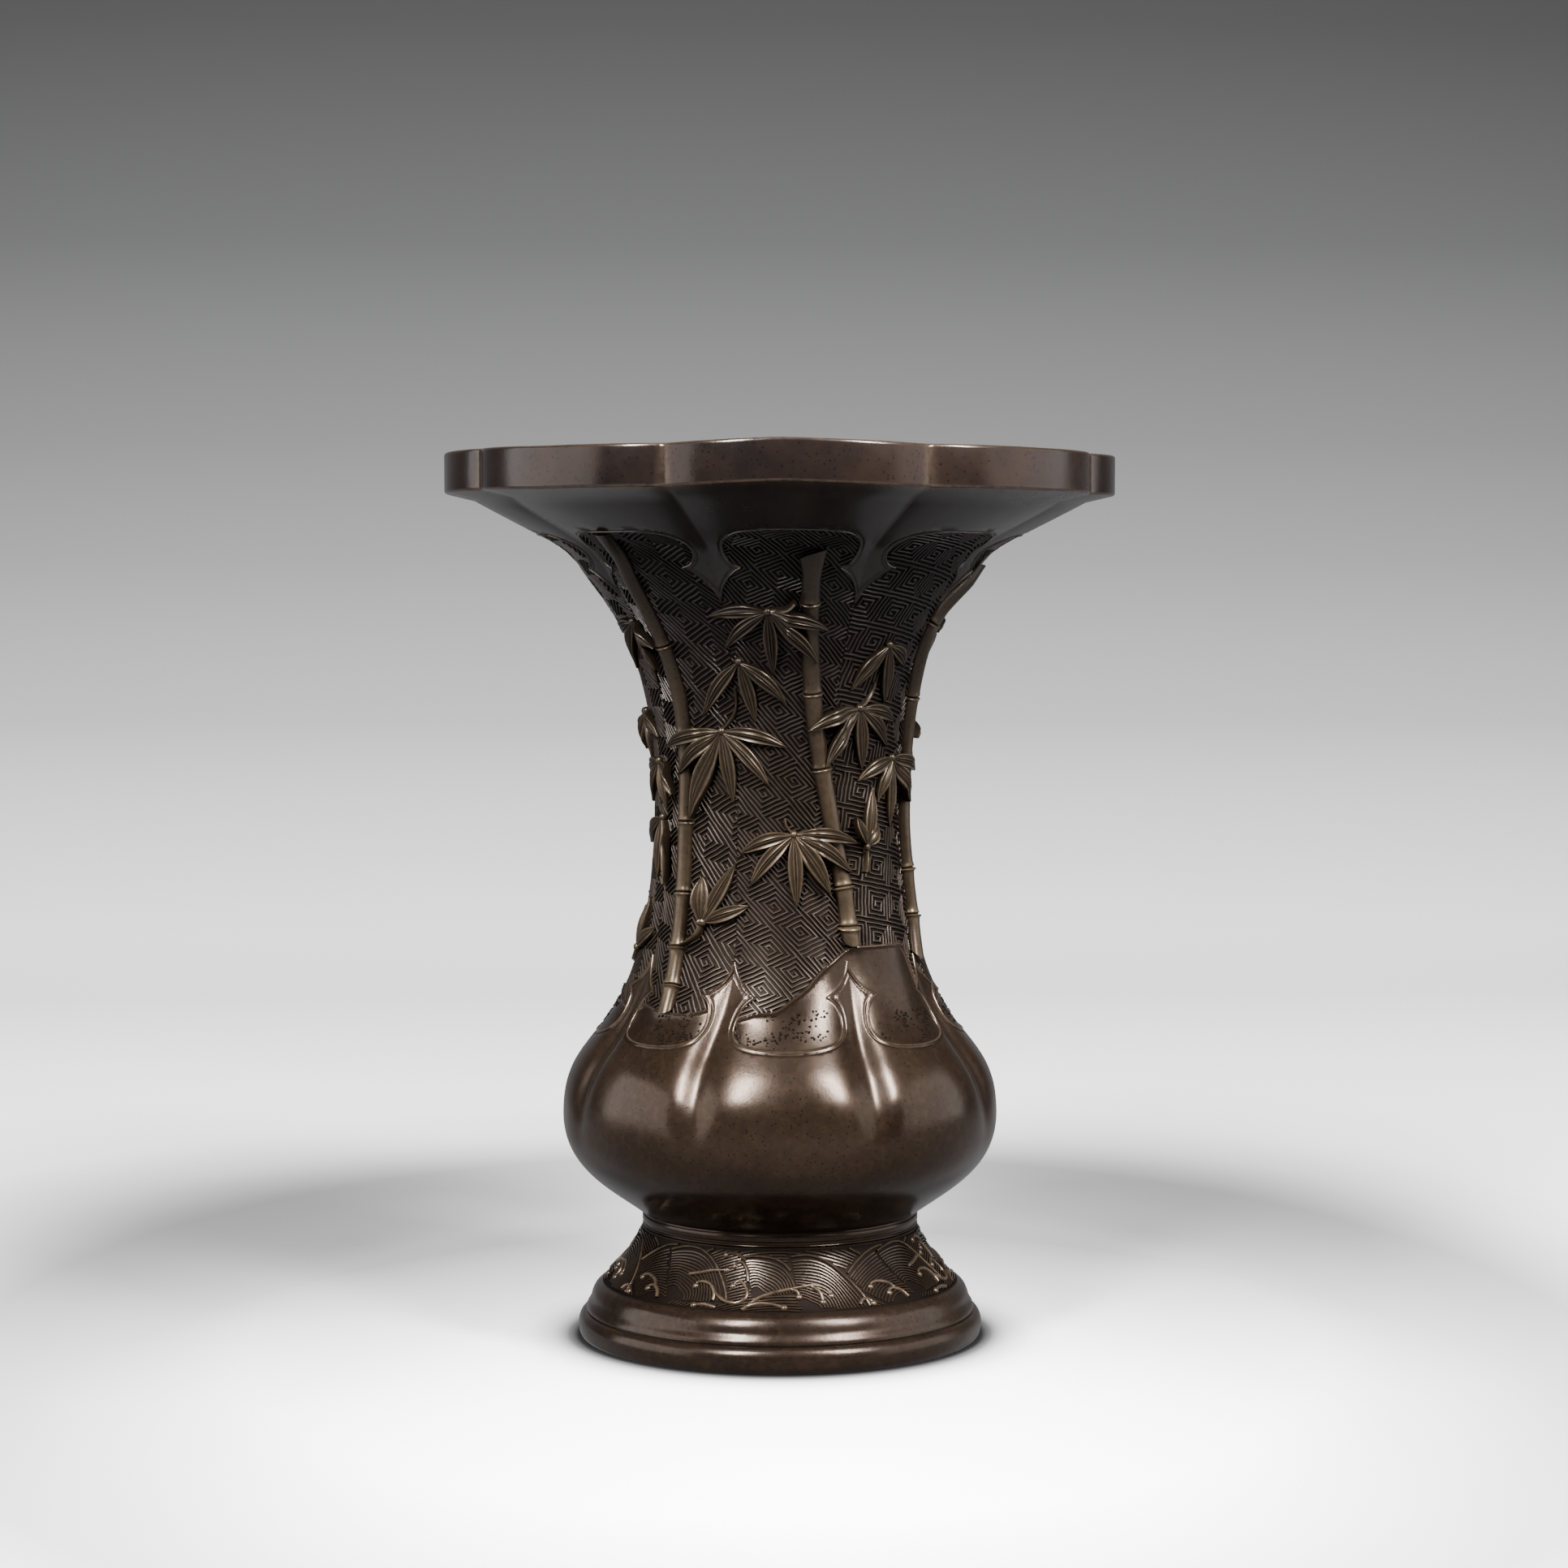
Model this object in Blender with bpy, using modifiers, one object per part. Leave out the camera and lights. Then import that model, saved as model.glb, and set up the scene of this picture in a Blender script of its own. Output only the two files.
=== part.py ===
"""Bronze baluster vase with an eight-lobed mouth and bamboo laid over its neck.

The vase is three castings: the body, the foot that it stands on, and the plate that closes
its floor. Bamboo canes and leaf sprays are cast by themselves and soldered to the neck.
Units are metres, +Z is up, and the front of the vase faces -Y. Heights on the body and on
the bamboo are measured from the body's seat, the lip that stands on the foot. An angle is
measured from the front, and grows towards +X.
"""
import math

import bmesh
import bpy
import numpy as np
from mathutils import Vector
from mathutils.geometry import interpolate_bezier

MM = 0.001

# Fits
CLEARANCE = 0.3 * MM
SOLDER_FILM = 0.3 * MM

# Foot
FOOT_HEIGHT = 37.5 * MM
FOOT_TOP_RADIUS = 47.0 * MM
FOOT_BAND_RADIUS = 60.5 * MM
FOOT_BAND_HEIGHT = 19.3 * MM
OVOLO_RADIUS = 63.8 * MM
OVOLO_HEIGHT = 14.0 * MM
HOLLOW_RADIUS = 66.2 * MM
HOLLOW_HEIGHT = 9.4 * MM
GROOVE_DEPTH = 0.6 * MM
BASE_RADIUS = 68.8 * MM
BASE_ROUND_HEIGHT = 4.4 * MM
BASE_RING_RADIUS = 66.6 * MM
BASE_RING_WIDTH = 5.0 * MM
FOOT_WALL = 3.4 * MM
LEDGE_WIDTH = 4.0 * MM
LEDGE_THICKNESS = 2.2 * MM

# Body
BODY_HEIGHT = 262.2 * MM
RIM_RADIUS = 113.0 * MM
RIM_BAND = 13.4 * MM
RIM_WALL = 6.0 * MM
DISH_RADIUS = 103.2 * MM
DISH_HEIGHT = 246.4 * MM
BREAK_RADIUS = 68.2 * MM
BREAK_HEIGHT = 224.2 * MM
WAIST_RADIUS = 42.6 * MM
WAIST_HEIGHT = 150.2 * MM
BELLY_RADIUS = 73.9 * MM
BELLY_HEIGHT = 38.4 * MM
THROAT_RADIUS = 46.6 * MM
THROAT_HEIGHT = 4.5 * MM
LIP_RADIUS = 47.0 * MM
LIP_HEIGHT = 4.0 * MM
LIP_WIDTH = 2.4 * MM
LIP_GROOVE = 0.6 * MM
BODY_WALL = 3.0 * MM
SPIGOT_LENGTH = 4.8 * MM
SPIGOT_WALL = 3.2 * MM

# Leans of the body's curves, away from straight down
DISH_LEAN = math.radians(61)
BREAK_LEAN_ABOVE = math.radians(41)
BREAK_LEAN_BELOW = math.radians(30)
THROAT_LEAN = math.radians(52)

# How far each curve's start and end pull it, as shares of the curve's own span
DISH_PULLS = (0.85, 0.23)
FLARE_PULLS = (0.17, 0.65)
NECK_PULLS = (0.85, 0.32)
BOWL_PULLS = (0.55, 0.42)
BAND_PULLS = (0.28, 0.14)
OVOLO_PULLS = (0.40, 0.55)
HOLLOW_PULLS = (0.45, 0.40)
ROUND_PULLS = (0.60, 0.45)

# Lobes, pressed in between them by these depths
LOBES = 8
LOBE_DEPTH_RIM = 5.0 * MM
LOBE_DEPTH_WAIST = 0.8 * MM
LOBE_DEPTH_SHOULDER = 3.6 * MM
SHOULDER_HEIGHT = 64.0 * MM
LOBE_END_HEIGHT = 24.0 * MM
LOBE_SHARPNESS = 2.5

# Ground sunk into the body for its fret, from the banks up to the pendants
GROUND_DEPTH = 0.8 * MM
GROUND_EDGE = 0.8 * MM
NECK_TOP = 200.0 * MM
NECK_BOTTOM = 104.0 * MM
GROUND_BOTTOM = 58.0 * MM
EDGE_CLEAR = 7.0 * MM
EDGE_FADE = 6.0 * MM
SIDE_CLEAR = 7.0 * MM

# Floor plate
PLATE_THICKNESS = 2.5 * MM

# Bamboo canes
CANE_WIDTH = 5.6 * MM
CANE_TIP_WIDTH = 6.2 * MM
CANE_RELIEF = 2.7 * MM
NODE_SWELL = 0.5 * MM
NODE_DIP = 0.2 * MM
NODE_WIDTH = 1.2 * MM
CANE_STEP = 12.0 * MM

# Leaf sprays
HUB_RADIUS = 2.6 * MM
HUB_RELIEF = 2.0 * MM
HUB_BARE_RADIUS = 1.6 * MM
HUB_BARE_TURN = math.radians(95)
LEAF_HALF_WIDTH = 2.4 * MM
LEAF_EDGE = 0.9 * MM
LEAF_RIB = 1.6 * MM
LEAF_BASE_HALF_WIDTH = 0.55 * MM
LEAF_TIP_SHARE = 0.12
LEAF_ARCH = 0.28
LEAF_STATIONS = (0.33, 0.66, 1.0)
CROSSING_STATIONS = (0.3, 0.5, 0.75, 1.0)
TWIG_STATIONS = (0.5, 1.0)
LEAF_GAP = 0.35 * MM
TWIG_HALF_WIDTH = 0.7 * MM
CROSSING_REACH = 5.0 * MM
CROSSING_FADE = 5.0 * MM

# Facets
CURVE_FINENESS = 8
SURFACE_STEPS = (12, 36, 48, 20)
INNER_STEPS = (1, 4, 5, 3)
BODY_COLUMNS = 64
COLUMN_GATHER = 0.3
FOOT_COLUMNS = 40
PLATE_COLUMNS = 40
CANE_SIDES = 8
ROUTE_STEPS = 12

# Outline of the ground over half a lobe: its foot and its head, as (angle from the lobe's
# middle in degrees, height in mm). Banks cover the foot, each as (angle, height) along its top.
PANEL_FOOT = ((0, 64.0), (7, 64.4), (13, 66.5), (18.5, 85.5), (22.5, 93.0))
PANEL_HEAD = ((0, 234.5), (7, 234.3), (13, 233.2), (18.5, 220.0), (22.5, 213.0))
BANKS = (
    ((-64, 76), (-59, 78.7), (-52, 77.6), (-36, 77.4), (-26, 80)),
    ((-19, 76), (-12, 77.8), (-4, 79.2), (3, 83.7), (11, 89.6), (18, 94.2), (27, 98.6), (45, 99.4),
     (57, 97.2), (61, 84), (64, 78)),
    ((71, 76), (76, 79.2), (83, 81.2), (92, 80.2), (100, 83.2), (109, 77)),
    ((116, 75), (123, 80), (130, 84.2), (139, 89.2), (147, 88.2), (154, 77)),
    ((161, 75), (168, 78.2), (176, 81.2), (184, 86.2), (191, 88.2), (199, 78)),
    ((-154, 76), (-149, 78.2), (-142, 79.2), (-134, 77.2), (-124, 80.2), (-116, 75)),
    ((-109, 75), (-102, 79.2), (-94, 82.2), (-86, 80.2), (-71, 76)),
)

# Canes, from foot to tip as (angle in degrees, height in mm), and the heights of their nodes
CANES = {
    "cane_front": (
        ((27.2, 101), (25.5, 117), (20.5, 139.5), (13.2, 168), (9.4, 188), (6.5, 211), (5.6, 227)),
        (105, 118, 157, 182, 212),
    ),
    "cane_left": (
        ((-46, 78), (-48, 97), (-49, 116), (-49.5, 139), (-48.8, 160), (-49, 179), (-50.5, 196),
         (-51.5, 213), (-49.5, 229)),
        (85, 97.5, 115.5, 139, 168, 197.5),
    ),
    "cane_right": (
        ((71, 94), (74.5, 107), (74.5, 122), (73, 138), (76, 160), (74, 181), (70, 197), (69, 208),
         (79, 223.5)),
        (106, 122, 150, 180, 205),
    ),
    "cane_back_left": (
        ((-108, 90), (-111, 106), (-113, 130), (-110, 158), (-108, 182), (-108, 204)),
        (97, 112, 136, 164, 192),
    ),
    "cane_back": (
        ((178, 88), (181, 108), (183, 134), (182, 162), (180, 190), (183, 220)),
        (96, 118, 146, 172, 206),
    ),
    "cane_back_right": (
        ((133, 80), (131, 102), (129, 126), (130, 152), (132, 180), (131, 206)),
        (88, 106, 134, 160, 188),
    ),
}

# Leaf sprays: hub as (angle, height), leaves and twigs as (direction, length in mm).
# A direction of 0 points up, and grows clockwise as seen from outside.
SPRAYS = {
    "spray_01": ((-7, 209), ((-96, 19), (-131, 20), (177, 22), (138, 23), (106, 19)), ((60, 10),)),
    "spray_02": ((-19, 192.7), ((-143, 22), (168, 20), (134, 19.5)), ()),
    "spray_03": ((-28.7, 169.5), ((-105, 21.5), (-133, 20), (-160, 30), (172, 22.5), (139, 22.5), (104, 21)),
                 ((20, 15.5),)),
    "spray_04": ((32.3, 177), ((-111, 18.5), (-148, 21.5), (172, 19.5), (132, 18.5), (105, 17.5)),
                 ((29, 10),)),
    "spray_05": ((40.4, 198), ((-146, 18), (167, 20), (122, 14)), ()),
    "spray_06": ((55.7, 160), ((-114, 16.5), (-153, 14.5), (180, 22), (143, 18), (107, 15)), ()),
    "spray_07": ((37.9, 131), ((-28, 10), (10, 18.5), (44, 8)), ((-162, 9),)),
    "spray_08": ((2.9, 135.6), ((-110, 17.5), (-140, 20.5), (178, 22.5), (151, 21.5), (125, 21.5), (99, 20)),
                 ((-26, 6),)),
    "spray_09": ((-36, 106.2), ((-3, 14), (27, 21), (69, 15.5)), ((-144, 10),)),
    "spray_10": ((-68, 205.7), ((123, 15), (148, 18.5), (174, 22), (-141, 21.5), (-110, 12)), ()),
    "spray_11": ((-94, 175), ((-150, 14), (168, 16), (118, 17)), ()),
    "spray_12": ((-72.5, 158.7), ((-110, 13), (-138, 18), (167, 15), (129, 16)), ()),
    "spray_13": ((-69, 139.8), ((-121, 17), (-172, 19.5), (160, 22)), ()),
    "spray_14": ((-84, 95), ((-30, 15), (12, 17), (56, 13)), ((-120, 10),)),
    "spray_15": ((-132, 190), ((-106, 18), (-142, 19), (176, 21), (138, 20), (102, 18)), ()),
    "spray_16": ((-140, 158), ((-108, 19), (-146, 18), (174, 20), (136, 18)), ((70, 12),)),
    "spray_17": ((-136, 122), ((-106, 16), (-142, 19), (178, 20), (138, 19)), ()),
    "spray_18": ((-166, 202), ((-104, 17), (-142, 20), (176, 21), (140, 17)), ()),
    "spray_19": ((158, 192), ((-106, 18), (-140, 20), (178, 21), (142, 19), (106, 16)), ()),
    "spray_20": ((155, 158), ((-106, 17), (-142, 19), (176, 20), (138, 20), (102, 17)), ((20, 9),)),
    "spray_21": ((152, 118), ((-40, 14), (0, 17), (40, 14)), ((-110, 11),)),
    "spray_22": ((107, 206), ((-106, 17), (-142, 19), (176, 20), (138, 19)), ()),
    "spray_23": ((103, 172), ((-110, 16), (-146, 19), (176, 20), (138, 18), (104, 15)), ()),
}

FINISHES = {
    "body": ((0.060, 0.043, 0.034), 0.36),
    "foot": ((0.070, 0.046, 0.034), 0.34),
    "plate": ((0.075, 0.058, 0.040), 0.55),
    "cane": ((0.150, 0.105, 0.062), 0.38),
    "leaf": ((0.125, 0.090, 0.058), 0.42),
}

SEAT_HEIGHT = FOOT_HEIGHT + CLEARANCE
SPIGOT_RADIUS = FOOT_TOP_RADIUS - FOOT_WALL - CLEARANCE
PLATE_TOP = SEAT_HEIGHT - SPIGOT_LENGTH - CLEARANCE
LEDGE_TOP = PLATE_TOP - PLATE_THICKNESS - CLEARANCE
RIM_BOTTOM = BODY_HEIGHT - RIM_BAND


def bezier(start, start_pull, end_pull, end, steps):
    """Evenly spaced points of one curve of a profile, as (radius, height), without its last one."""
    knots = [Vector((x, 0.0, z)) for x, z in (start, start_pull, end_pull, end)]
    fine = interpolate_bezier(*knots, CURVE_FINENESS * steps + 1)
    lengths = [0.0]
    for before, after in zip(fine, fine[1:]):
        lengths.append(lengths[-1] + (after - before).length)
    marks = np.linspace(0.0, lengths[-1], steps + 1)[:-1]
    radii = np.interp(marks, lengths, [point.x for point in fine])
    heights = np.interp(marks, lengths, [point.z for point in fine])
    return list(zip(radii.tolist(), heights.tolist()))


def hollow_curve(start, end, pulls, steps):
    """Hollow moulding that drops from its start and runs out to its end."""
    drop = start[1] - end[1]
    return bezier(start, (start[0], start[1] - pulls[0] * drop),
                  (end[0] - pulls[1] * drop, end[1] + pulls[1] * drop / 2), end, steps)


def round_curve(start, end, pulls, steps):
    """Round moulding that runs out from its start and drops to its end."""
    run = end[0] - start[0]
    drop = start[1] - end[1]
    return bezier(start, (start[0] + pulls[0] * run, start[1]),
                  (end[0], end[1] + pulls[1] * drop), end, steps)


def step_down(point, lean, distance):
    """Point that lies a distance down and inwards from another, at a lean from straight down."""
    return point[0] - distance * math.sin(lean), point[1] - distance * math.cos(lean)


def body_curves(dish_steps, flare_steps, neck_steps, bowl_steps):
    """Outer curve of the body at the middle of a lobe, from the dish down to the throat."""
    dish = (DISH_RADIUS, DISH_HEIGHT)
    edge = (BREAK_RADIUS, BREAK_HEIGHT)
    waist = (WAIST_RADIUS, WAIST_HEIGHT)
    belly = (BELLY_RADIUS, BELLY_HEIGHT)
    throat = (THROAT_RADIUS, THROAT_HEIGHT)
    dish_span = math.dist(dish, edge)
    flare_span = BREAK_HEIGHT - WAIST_HEIGHT
    neck_span = WAIST_HEIGHT - BELLY_HEIGHT
    bowl_span = BELLY_HEIGHT - THROAT_HEIGHT
    points = bezier(dish, step_down(dish, DISH_LEAN, DISH_PULLS[0] * dish_span),
                    step_down(edge, BREAK_LEAN_ABOVE, -DISH_PULLS[1] * dish_span), edge, dish_steps)
    points += bezier(edge, step_down(edge, BREAK_LEAN_BELOW, FLARE_PULLS[0] * flare_span),
                     (WAIST_RADIUS, WAIST_HEIGHT + FLARE_PULLS[1] * flare_span), waist, flare_steps)
    points += bezier(waist, (WAIST_RADIUS, WAIST_HEIGHT - NECK_PULLS[0] * neck_span),
                     (BELLY_RADIUS, BELLY_HEIGHT + NECK_PULLS[1] * neck_span), belly, neck_steps)
    points += bezier(belly, (BELLY_RADIUS, BELLY_HEIGHT - BOWL_PULLS[0] * bowl_span),
                     step_down(throat, THROAT_LEAN, -BOWL_PULLS[1] * bowl_span), throat, bowl_steps)
    return points + [throat]


def inset(points, wall):
    """Inner side of a wall whose outer side runs down through the points."""
    inner = []
    for index, (radius, height) in enumerate(points):
        before = points[max(index - 1, 0)]
        after = points[min(index + 1, len(points) - 1)]
        run = math.dist(before, after)
        inner.append((radius + wall * (after[1] - before[1]) / run,
                      height - wall * (after[0] - before[0]) / run))
    return inner


def ground_edges(angle):
    """Heights of the ground's foot and head at an angle, where the banks cover its foot."""
    turn = math.degrees(angle)
    step = 360 / LOBES
    off_centre = abs((turn + step / 2) % step - step / 2)
    foot = np.interp(off_centre, *zip(*PANEL_FOOT))
    for bank in BANKS:
        angles, heights = zip(*bank)
        foot = max(foot, np.interp(angles[0] + (turn - angles[0]) % 360, angles, heights, right=0.0))
    return MM * float(foot), MM * float(np.interp(off_centre, *zip(*PANEL_HEAD)))


class Surface:
    """Outer surface of the body, which the ground is sunk into and the bamboo is laid on."""

    def __init__(self):
        curve = [(RIM_RADIUS, BODY_HEIGHT), (RIM_RADIUS, RIM_BOTTOM)] + body_curves(*SURFACE_STEPS)
        curve.reverse()
        self.radii = [radius for radius, height in curve]
        self.heights = [height for radius, height in curve]
        self.arcs = [0.0]
        for lower, upper in zip(curve, curve[1:]):
            self.arcs.append(self.arcs[-1] + math.dist(lower, upper))

    def profile_point(self, height, lift):
        """Point over the outer profile at the middle of a lobe, as (radius, height)."""
        above = self.climb(height, MM)
        below = self.climb(height, -MM)
        rise = above - below
        run = float(np.interp(above, self.heights, self.radii) - np.interp(below, self.heights, self.radii))
        slope = math.hypot(rise, run)
        radius = float(np.interp(height, self.heights, self.radii))
        return radius + lift * rise / slope, height - lift * run / slope

    def rows(self, angle):
        """Outer profile of the body at an angle, from the dish down, with its ground sunk."""
        foot, head = ground_edges(angle)
        ceiling = (DISH_HEIGHT + max(head, BREAK_HEIGHT)) / 2
        if head > BREAK_HEIGHT:
            over, under = (head + ceiling) / 2, BREAK_HEIGHT
        else:
            over, under = BREAK_HEIGHT, (head + NECK_TOP) / 2
        level = 0.0
        sunk = -GROUND_DEPTH
        stops = [(DISH_HEIGHT, level, 1), (ceiling, level, 1), (over, level, 1), (head, level, 1),
                 (head - GROUND_EDGE, sunk, 1), (under, sunk, 3), (NECK_TOP, sunk, 9),
                 (NECK_BOTTOM, sunk, 4), (foot + GROUND_EDGE, sunk, 1),
                 (foot, level, 4), (GROUND_BOTTOM, level, 3), (BELLY_HEIGHT, level, 5)]
        ends = [height for height, lift, steps in stops[1:]] + [THROAT_HEIGHT]
        points = []
        for (start, lift, steps), end in zip(stops, ends):
            drop = self.arc_between(start, end)
            for step in range(steps):
                points.append(self.profile_point(self.climb(start, drop * step / steps), lift))
        return points + [(THROAT_RADIUS, THROAT_HEIGHT)]

    def sinking(self, angle, height):
        """How far a mount may reach down into the ground, which fades out towards its edges."""
        side = SIDE_CLEAR / self.lobed_radius(angle, height)
        room = min(min(height - foot, head - height) for foot, head in
                   (ground_edges(angle + side * share) for share in (-1.0, -0.5, 0.0, 0.5, 1.0)))
        return GROUND_DEPTH * max(0.0, min(1.0, (room - EDGE_CLEAR) / EDGE_FADE))

    def lobed_radius(self, angle, height):
        return float(np.interp(height, self.heights, self.radii)) - lobe_press(angle, height)

    def climb(self, height, distance):
        """Height reached by going a distance up the surface."""
        arc = np.interp(height, self.heights, self.arcs) + distance
        return float(np.interp(arc, self.arcs, self.heights))

    def arc_between(self, low, high):
        return float(np.interp(high, self.heights, self.arcs) - np.interp(low, self.heights, self.arcs))

    def point(self, angle, height, lift):
        """Point over the surface, in the vase's own frame."""
        radius, lifted_height = self.profile_point(height, lift)
        radius -= lobe_press(angle, height)
        return Vector((radius * math.sin(angle), -radius * math.cos(angle), SEAT_HEIGHT + lifted_height))

    def place(self, angle, height, across, up, lift):
        """Point that lies across and up from a place on the surface, and over it by the lift."""
        reached = self.climb(height, up)
        middle = self.climb(height, up / 2)
        return self.point(angle + across / self.lobed_radius(angle, middle), reached, lift)


def lobe_press(angle, height):
    """How far the surface is pressed in at an angle, from the middle of the lobe."""
    if height >= WAIST_HEIGHT:
        share = min(1.0, (height - WAIST_HEIGHT) / (DISH_HEIGHT - WAIST_HEIGHT))
        depth = LOBE_DEPTH_WAIST + (LOBE_DEPTH_RIM - LOBE_DEPTH_WAIST) * share ** 2
    elif height >= SHOULDER_HEIGHT:
        share = (WAIST_HEIGHT - height) / (WAIST_HEIGHT - SHOULDER_HEIGHT)
        depth = LOBE_DEPTH_WAIST + (LOBE_DEPTH_SHOULDER - LOBE_DEPTH_WAIST) * share ** 3
    else:
        share = max(0.0, (height - LOBE_END_HEIGHT) / (SHOULDER_HEIGHT - LOBE_END_HEIGHT))
        depth = LOBE_DEPTH_SHOULDER * share * share * (3 - 2 * share)
    lobe = math.tau / LOBES
    off_centre = abs((angle + lobe / 2) % lobe - lobe / 2) / (lobe / 2)
    return depth * off_centre ** LOBE_SHARPNESS


def make_collection(name):
    collection = bpy.data.collections.new(name)
    bpy.context.scene.collection.children.link(collection)
    return collection


def make_material(name, finish):
    colour, roughness = FINISHES[finish]
    material = bpy.data.materials.new(name)
    material.use_nodes = True
    shader = material.node_tree.nodes["Principled BSDF"]
    shader.inputs["Base Color"].default_value = (*colour, 1.0)
    shader.inputs["Metallic"].default_value = 1.0
    shader.inputs["Roughness"].default_value = roughness
    return material


def add_object(name, mesh, finish, collection):
    mesh.materials.clear()
    mesh.materials.append(make_material(name + "_bronze", finish))
    mesh.shade_smooth()
    mesh.set_sharp_from_angle(angle=math.radians(32))
    piece = bpy.data.objects.new(name, mesh)
    collection.objects.link(piece)
    return piece


def turned_mesh(name, profile, closed, columns):
    """Mesh turned round Z from a profile that runs down its outer side."""
    mesh = bpy.data.meshes.new(name)
    edges = [(index, index + 1) for index in range(len(profile) - 1)]
    if closed:
        edges.append((len(profile) - 1, 0))
    mesh.from_pydata([(radius, 0.0, height) for radius, height in profile], edges, [])
    turned = bpy.data.objects.new(name, mesh)
    bpy.context.scene.collection.objects.link(turned)
    screw = turned.modifiers.new("Turn", "SCREW")
    screw.steps = columns
    screw.render_steps = columns
    screw.use_merge_vertices = True
    screw.merge_threshold = 0.00001
    evaluated = turned.evaluated_get(bpy.context.evaluated_depsgraph_get())
    result = bpy.data.meshes.new_from_object(evaluated)
    bpy.data.objects.remove(turned)
    bpy.data.meshes.remove(mesh)
    return result


def body_profile(surface, angle):
    """Closed profile of the body at an angle, down its outer side and up its inner one."""
    rim_inner = RIM_RADIUS - RIM_WALL
    outer = [(RIM_RADIUS, BODY_HEIGHT), (RIM_RADIUS, RIM_BOTTOM)] + surface.rows(angle)
    spigot_bore = SPIGOT_RADIUS - SPIGOT_WALL
    lip_bottom = LIP_HEIGHT - LIP_WIDTH
    lip = [(LIP_RADIUS, LIP_HEIGHT), (LIP_RADIUS, lip_bottom),
           (LIP_RADIUS - LIP_GROOVE, lip_bottom - LIP_GROOVE), (FOOT_TOP_RADIUS, 0.0),
           (SPIGOT_RADIUS, 0.0), (SPIGOT_RADIUS, -SPIGOT_LENGTH), (spigot_bore, -SPIGOT_LENGTH)]
    inner = inset(body_curves(*INNER_STEPS), BODY_WALL)
    inner = [point for point in inner if point[0] > spigot_bore or point[1] > SHOULDER_HEIGHT]
    inner.append((spigot_bore, inner[-1][1] - BODY_WALL))
    inner.reverse()
    return [(radius - lobe_press(angle, height), SEAT_HEIGHT + height) for radius, height in
            outer + lip + inner + [(rim_inner, RIM_BOTTOM + RIM_WALL), (rim_inner, BODY_HEIGHT)]]


def make_body(surface, collection):
    """Body turned from its profile at the front, then each column drawn to its own profile."""
    front = body_profile(surface, 0.0)
    mesh = turned_mesh("vase_body", front, True, BODY_COLUMNS)
    columns = {}
    for vertex in mesh.vertices:
        x, y, z = vertex.co
        turn = math.atan2(x, -y)
        angle = turn + COLUMN_GATHER / LOBES * math.sin(LOBES * turn)
        column = round(turn * BODY_COLUMNS / math.tau) % BODY_COLUMNS
        if column not in columns:
            columns[column] = body_profile(surface, angle)
        turned = (math.hypot(x, y), z)
        row = min(range(len(front)), key=lambda index: math.dist(front[index], turned))
        radius, height = columns[column][row]
        vertex.co = (radius * math.sin(angle), -radius * math.cos(angle), height)
    return add_object("vase_body", mesh, "body", collection)


def foot_profile():
    bore = FOOT_TOP_RADIUS - FOOT_WALL
    base_inner = BASE_RING_RADIUS - BASE_RING_WIDTH
    ledge_bottom = LEDGE_TOP - LEDGE_THICKNESS
    top = (FOOT_TOP_RADIUS, FOOT_HEIGHT)
    band = (FOOT_BAND_RADIUS, FOOT_BAND_HEIGHT)
    ovolo = (OVOLO_RADIUS, OVOLO_HEIGHT)
    hollow = (HOLLOW_RADIUS, HOLLOW_HEIGHT)
    groove = (HOLLOW_RADIUS - GROOVE_DEPTH, HOLLOW_HEIGHT - GROOVE_DEPTH)
    base = (BASE_RADIUS, BASE_ROUND_HEIGHT)
    ring = (BASE_RING_RADIUS, 0.0)
    outer = hollow_curve(top, band, BAND_PULLS, 4) + round_curve(band, ovolo, OVOLO_PULLS, 2)
    outer += hollow_curve(ovolo, hollow, HOLLOW_PULLS, 2) + [hollow]
    outer += round_curve(groove, base, ROUND_PULLS, 2)
    outer += bezier(base, (base[0], base[1] * (1 - ROUND_PULLS[0])), (base[0] - GROOVE_DEPTH, 0.0), ring, 2)
    inner = [ring, (base_inner, 0.0), (base_inner, HOLLOW_HEIGHT)]
    inner += [(FOOT_BAND_RADIUS - FOOT_WALL, OVOLO_HEIGHT),
              (bore + FOOT_WALL, FOOT_BAND_HEIGHT + FOOT_WALL)]
    inner += [(bore, ledge_bottom), (bore - LEDGE_WIDTH, ledge_bottom)]
    inner += [(bore - LEDGE_WIDTH, LEDGE_TOP), (bore, LEDGE_TOP), (bore, FOOT_HEIGHT)]
    return outer + inner


def make_foot(collection):
    mesh = turned_mesh("foot", foot_profile(), True, FOOT_COLUMNS)
    return add_object("foot", mesh, "foot", collection)


def make_plate(collection):
    work = bmesh.new()
    bmesh.ops.create_cone(work, cap_ends=True, segments=PLATE_COLUMNS, radius1=SPIGOT_RADIUS,
                          radius2=SPIGOT_RADIUS, depth=PLATE_THICKNESS)
    bmesh.ops.translate(work, verts=work.verts, vec=(0, 0, PLATE_TOP - PLATE_THICKNESS / 2))
    mesh = bpy.data.meshes.new("base_plate")
    work.to_mesh(mesh)
    work.free()
    return add_object("base_plate", mesh, "plate", collection)


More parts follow.
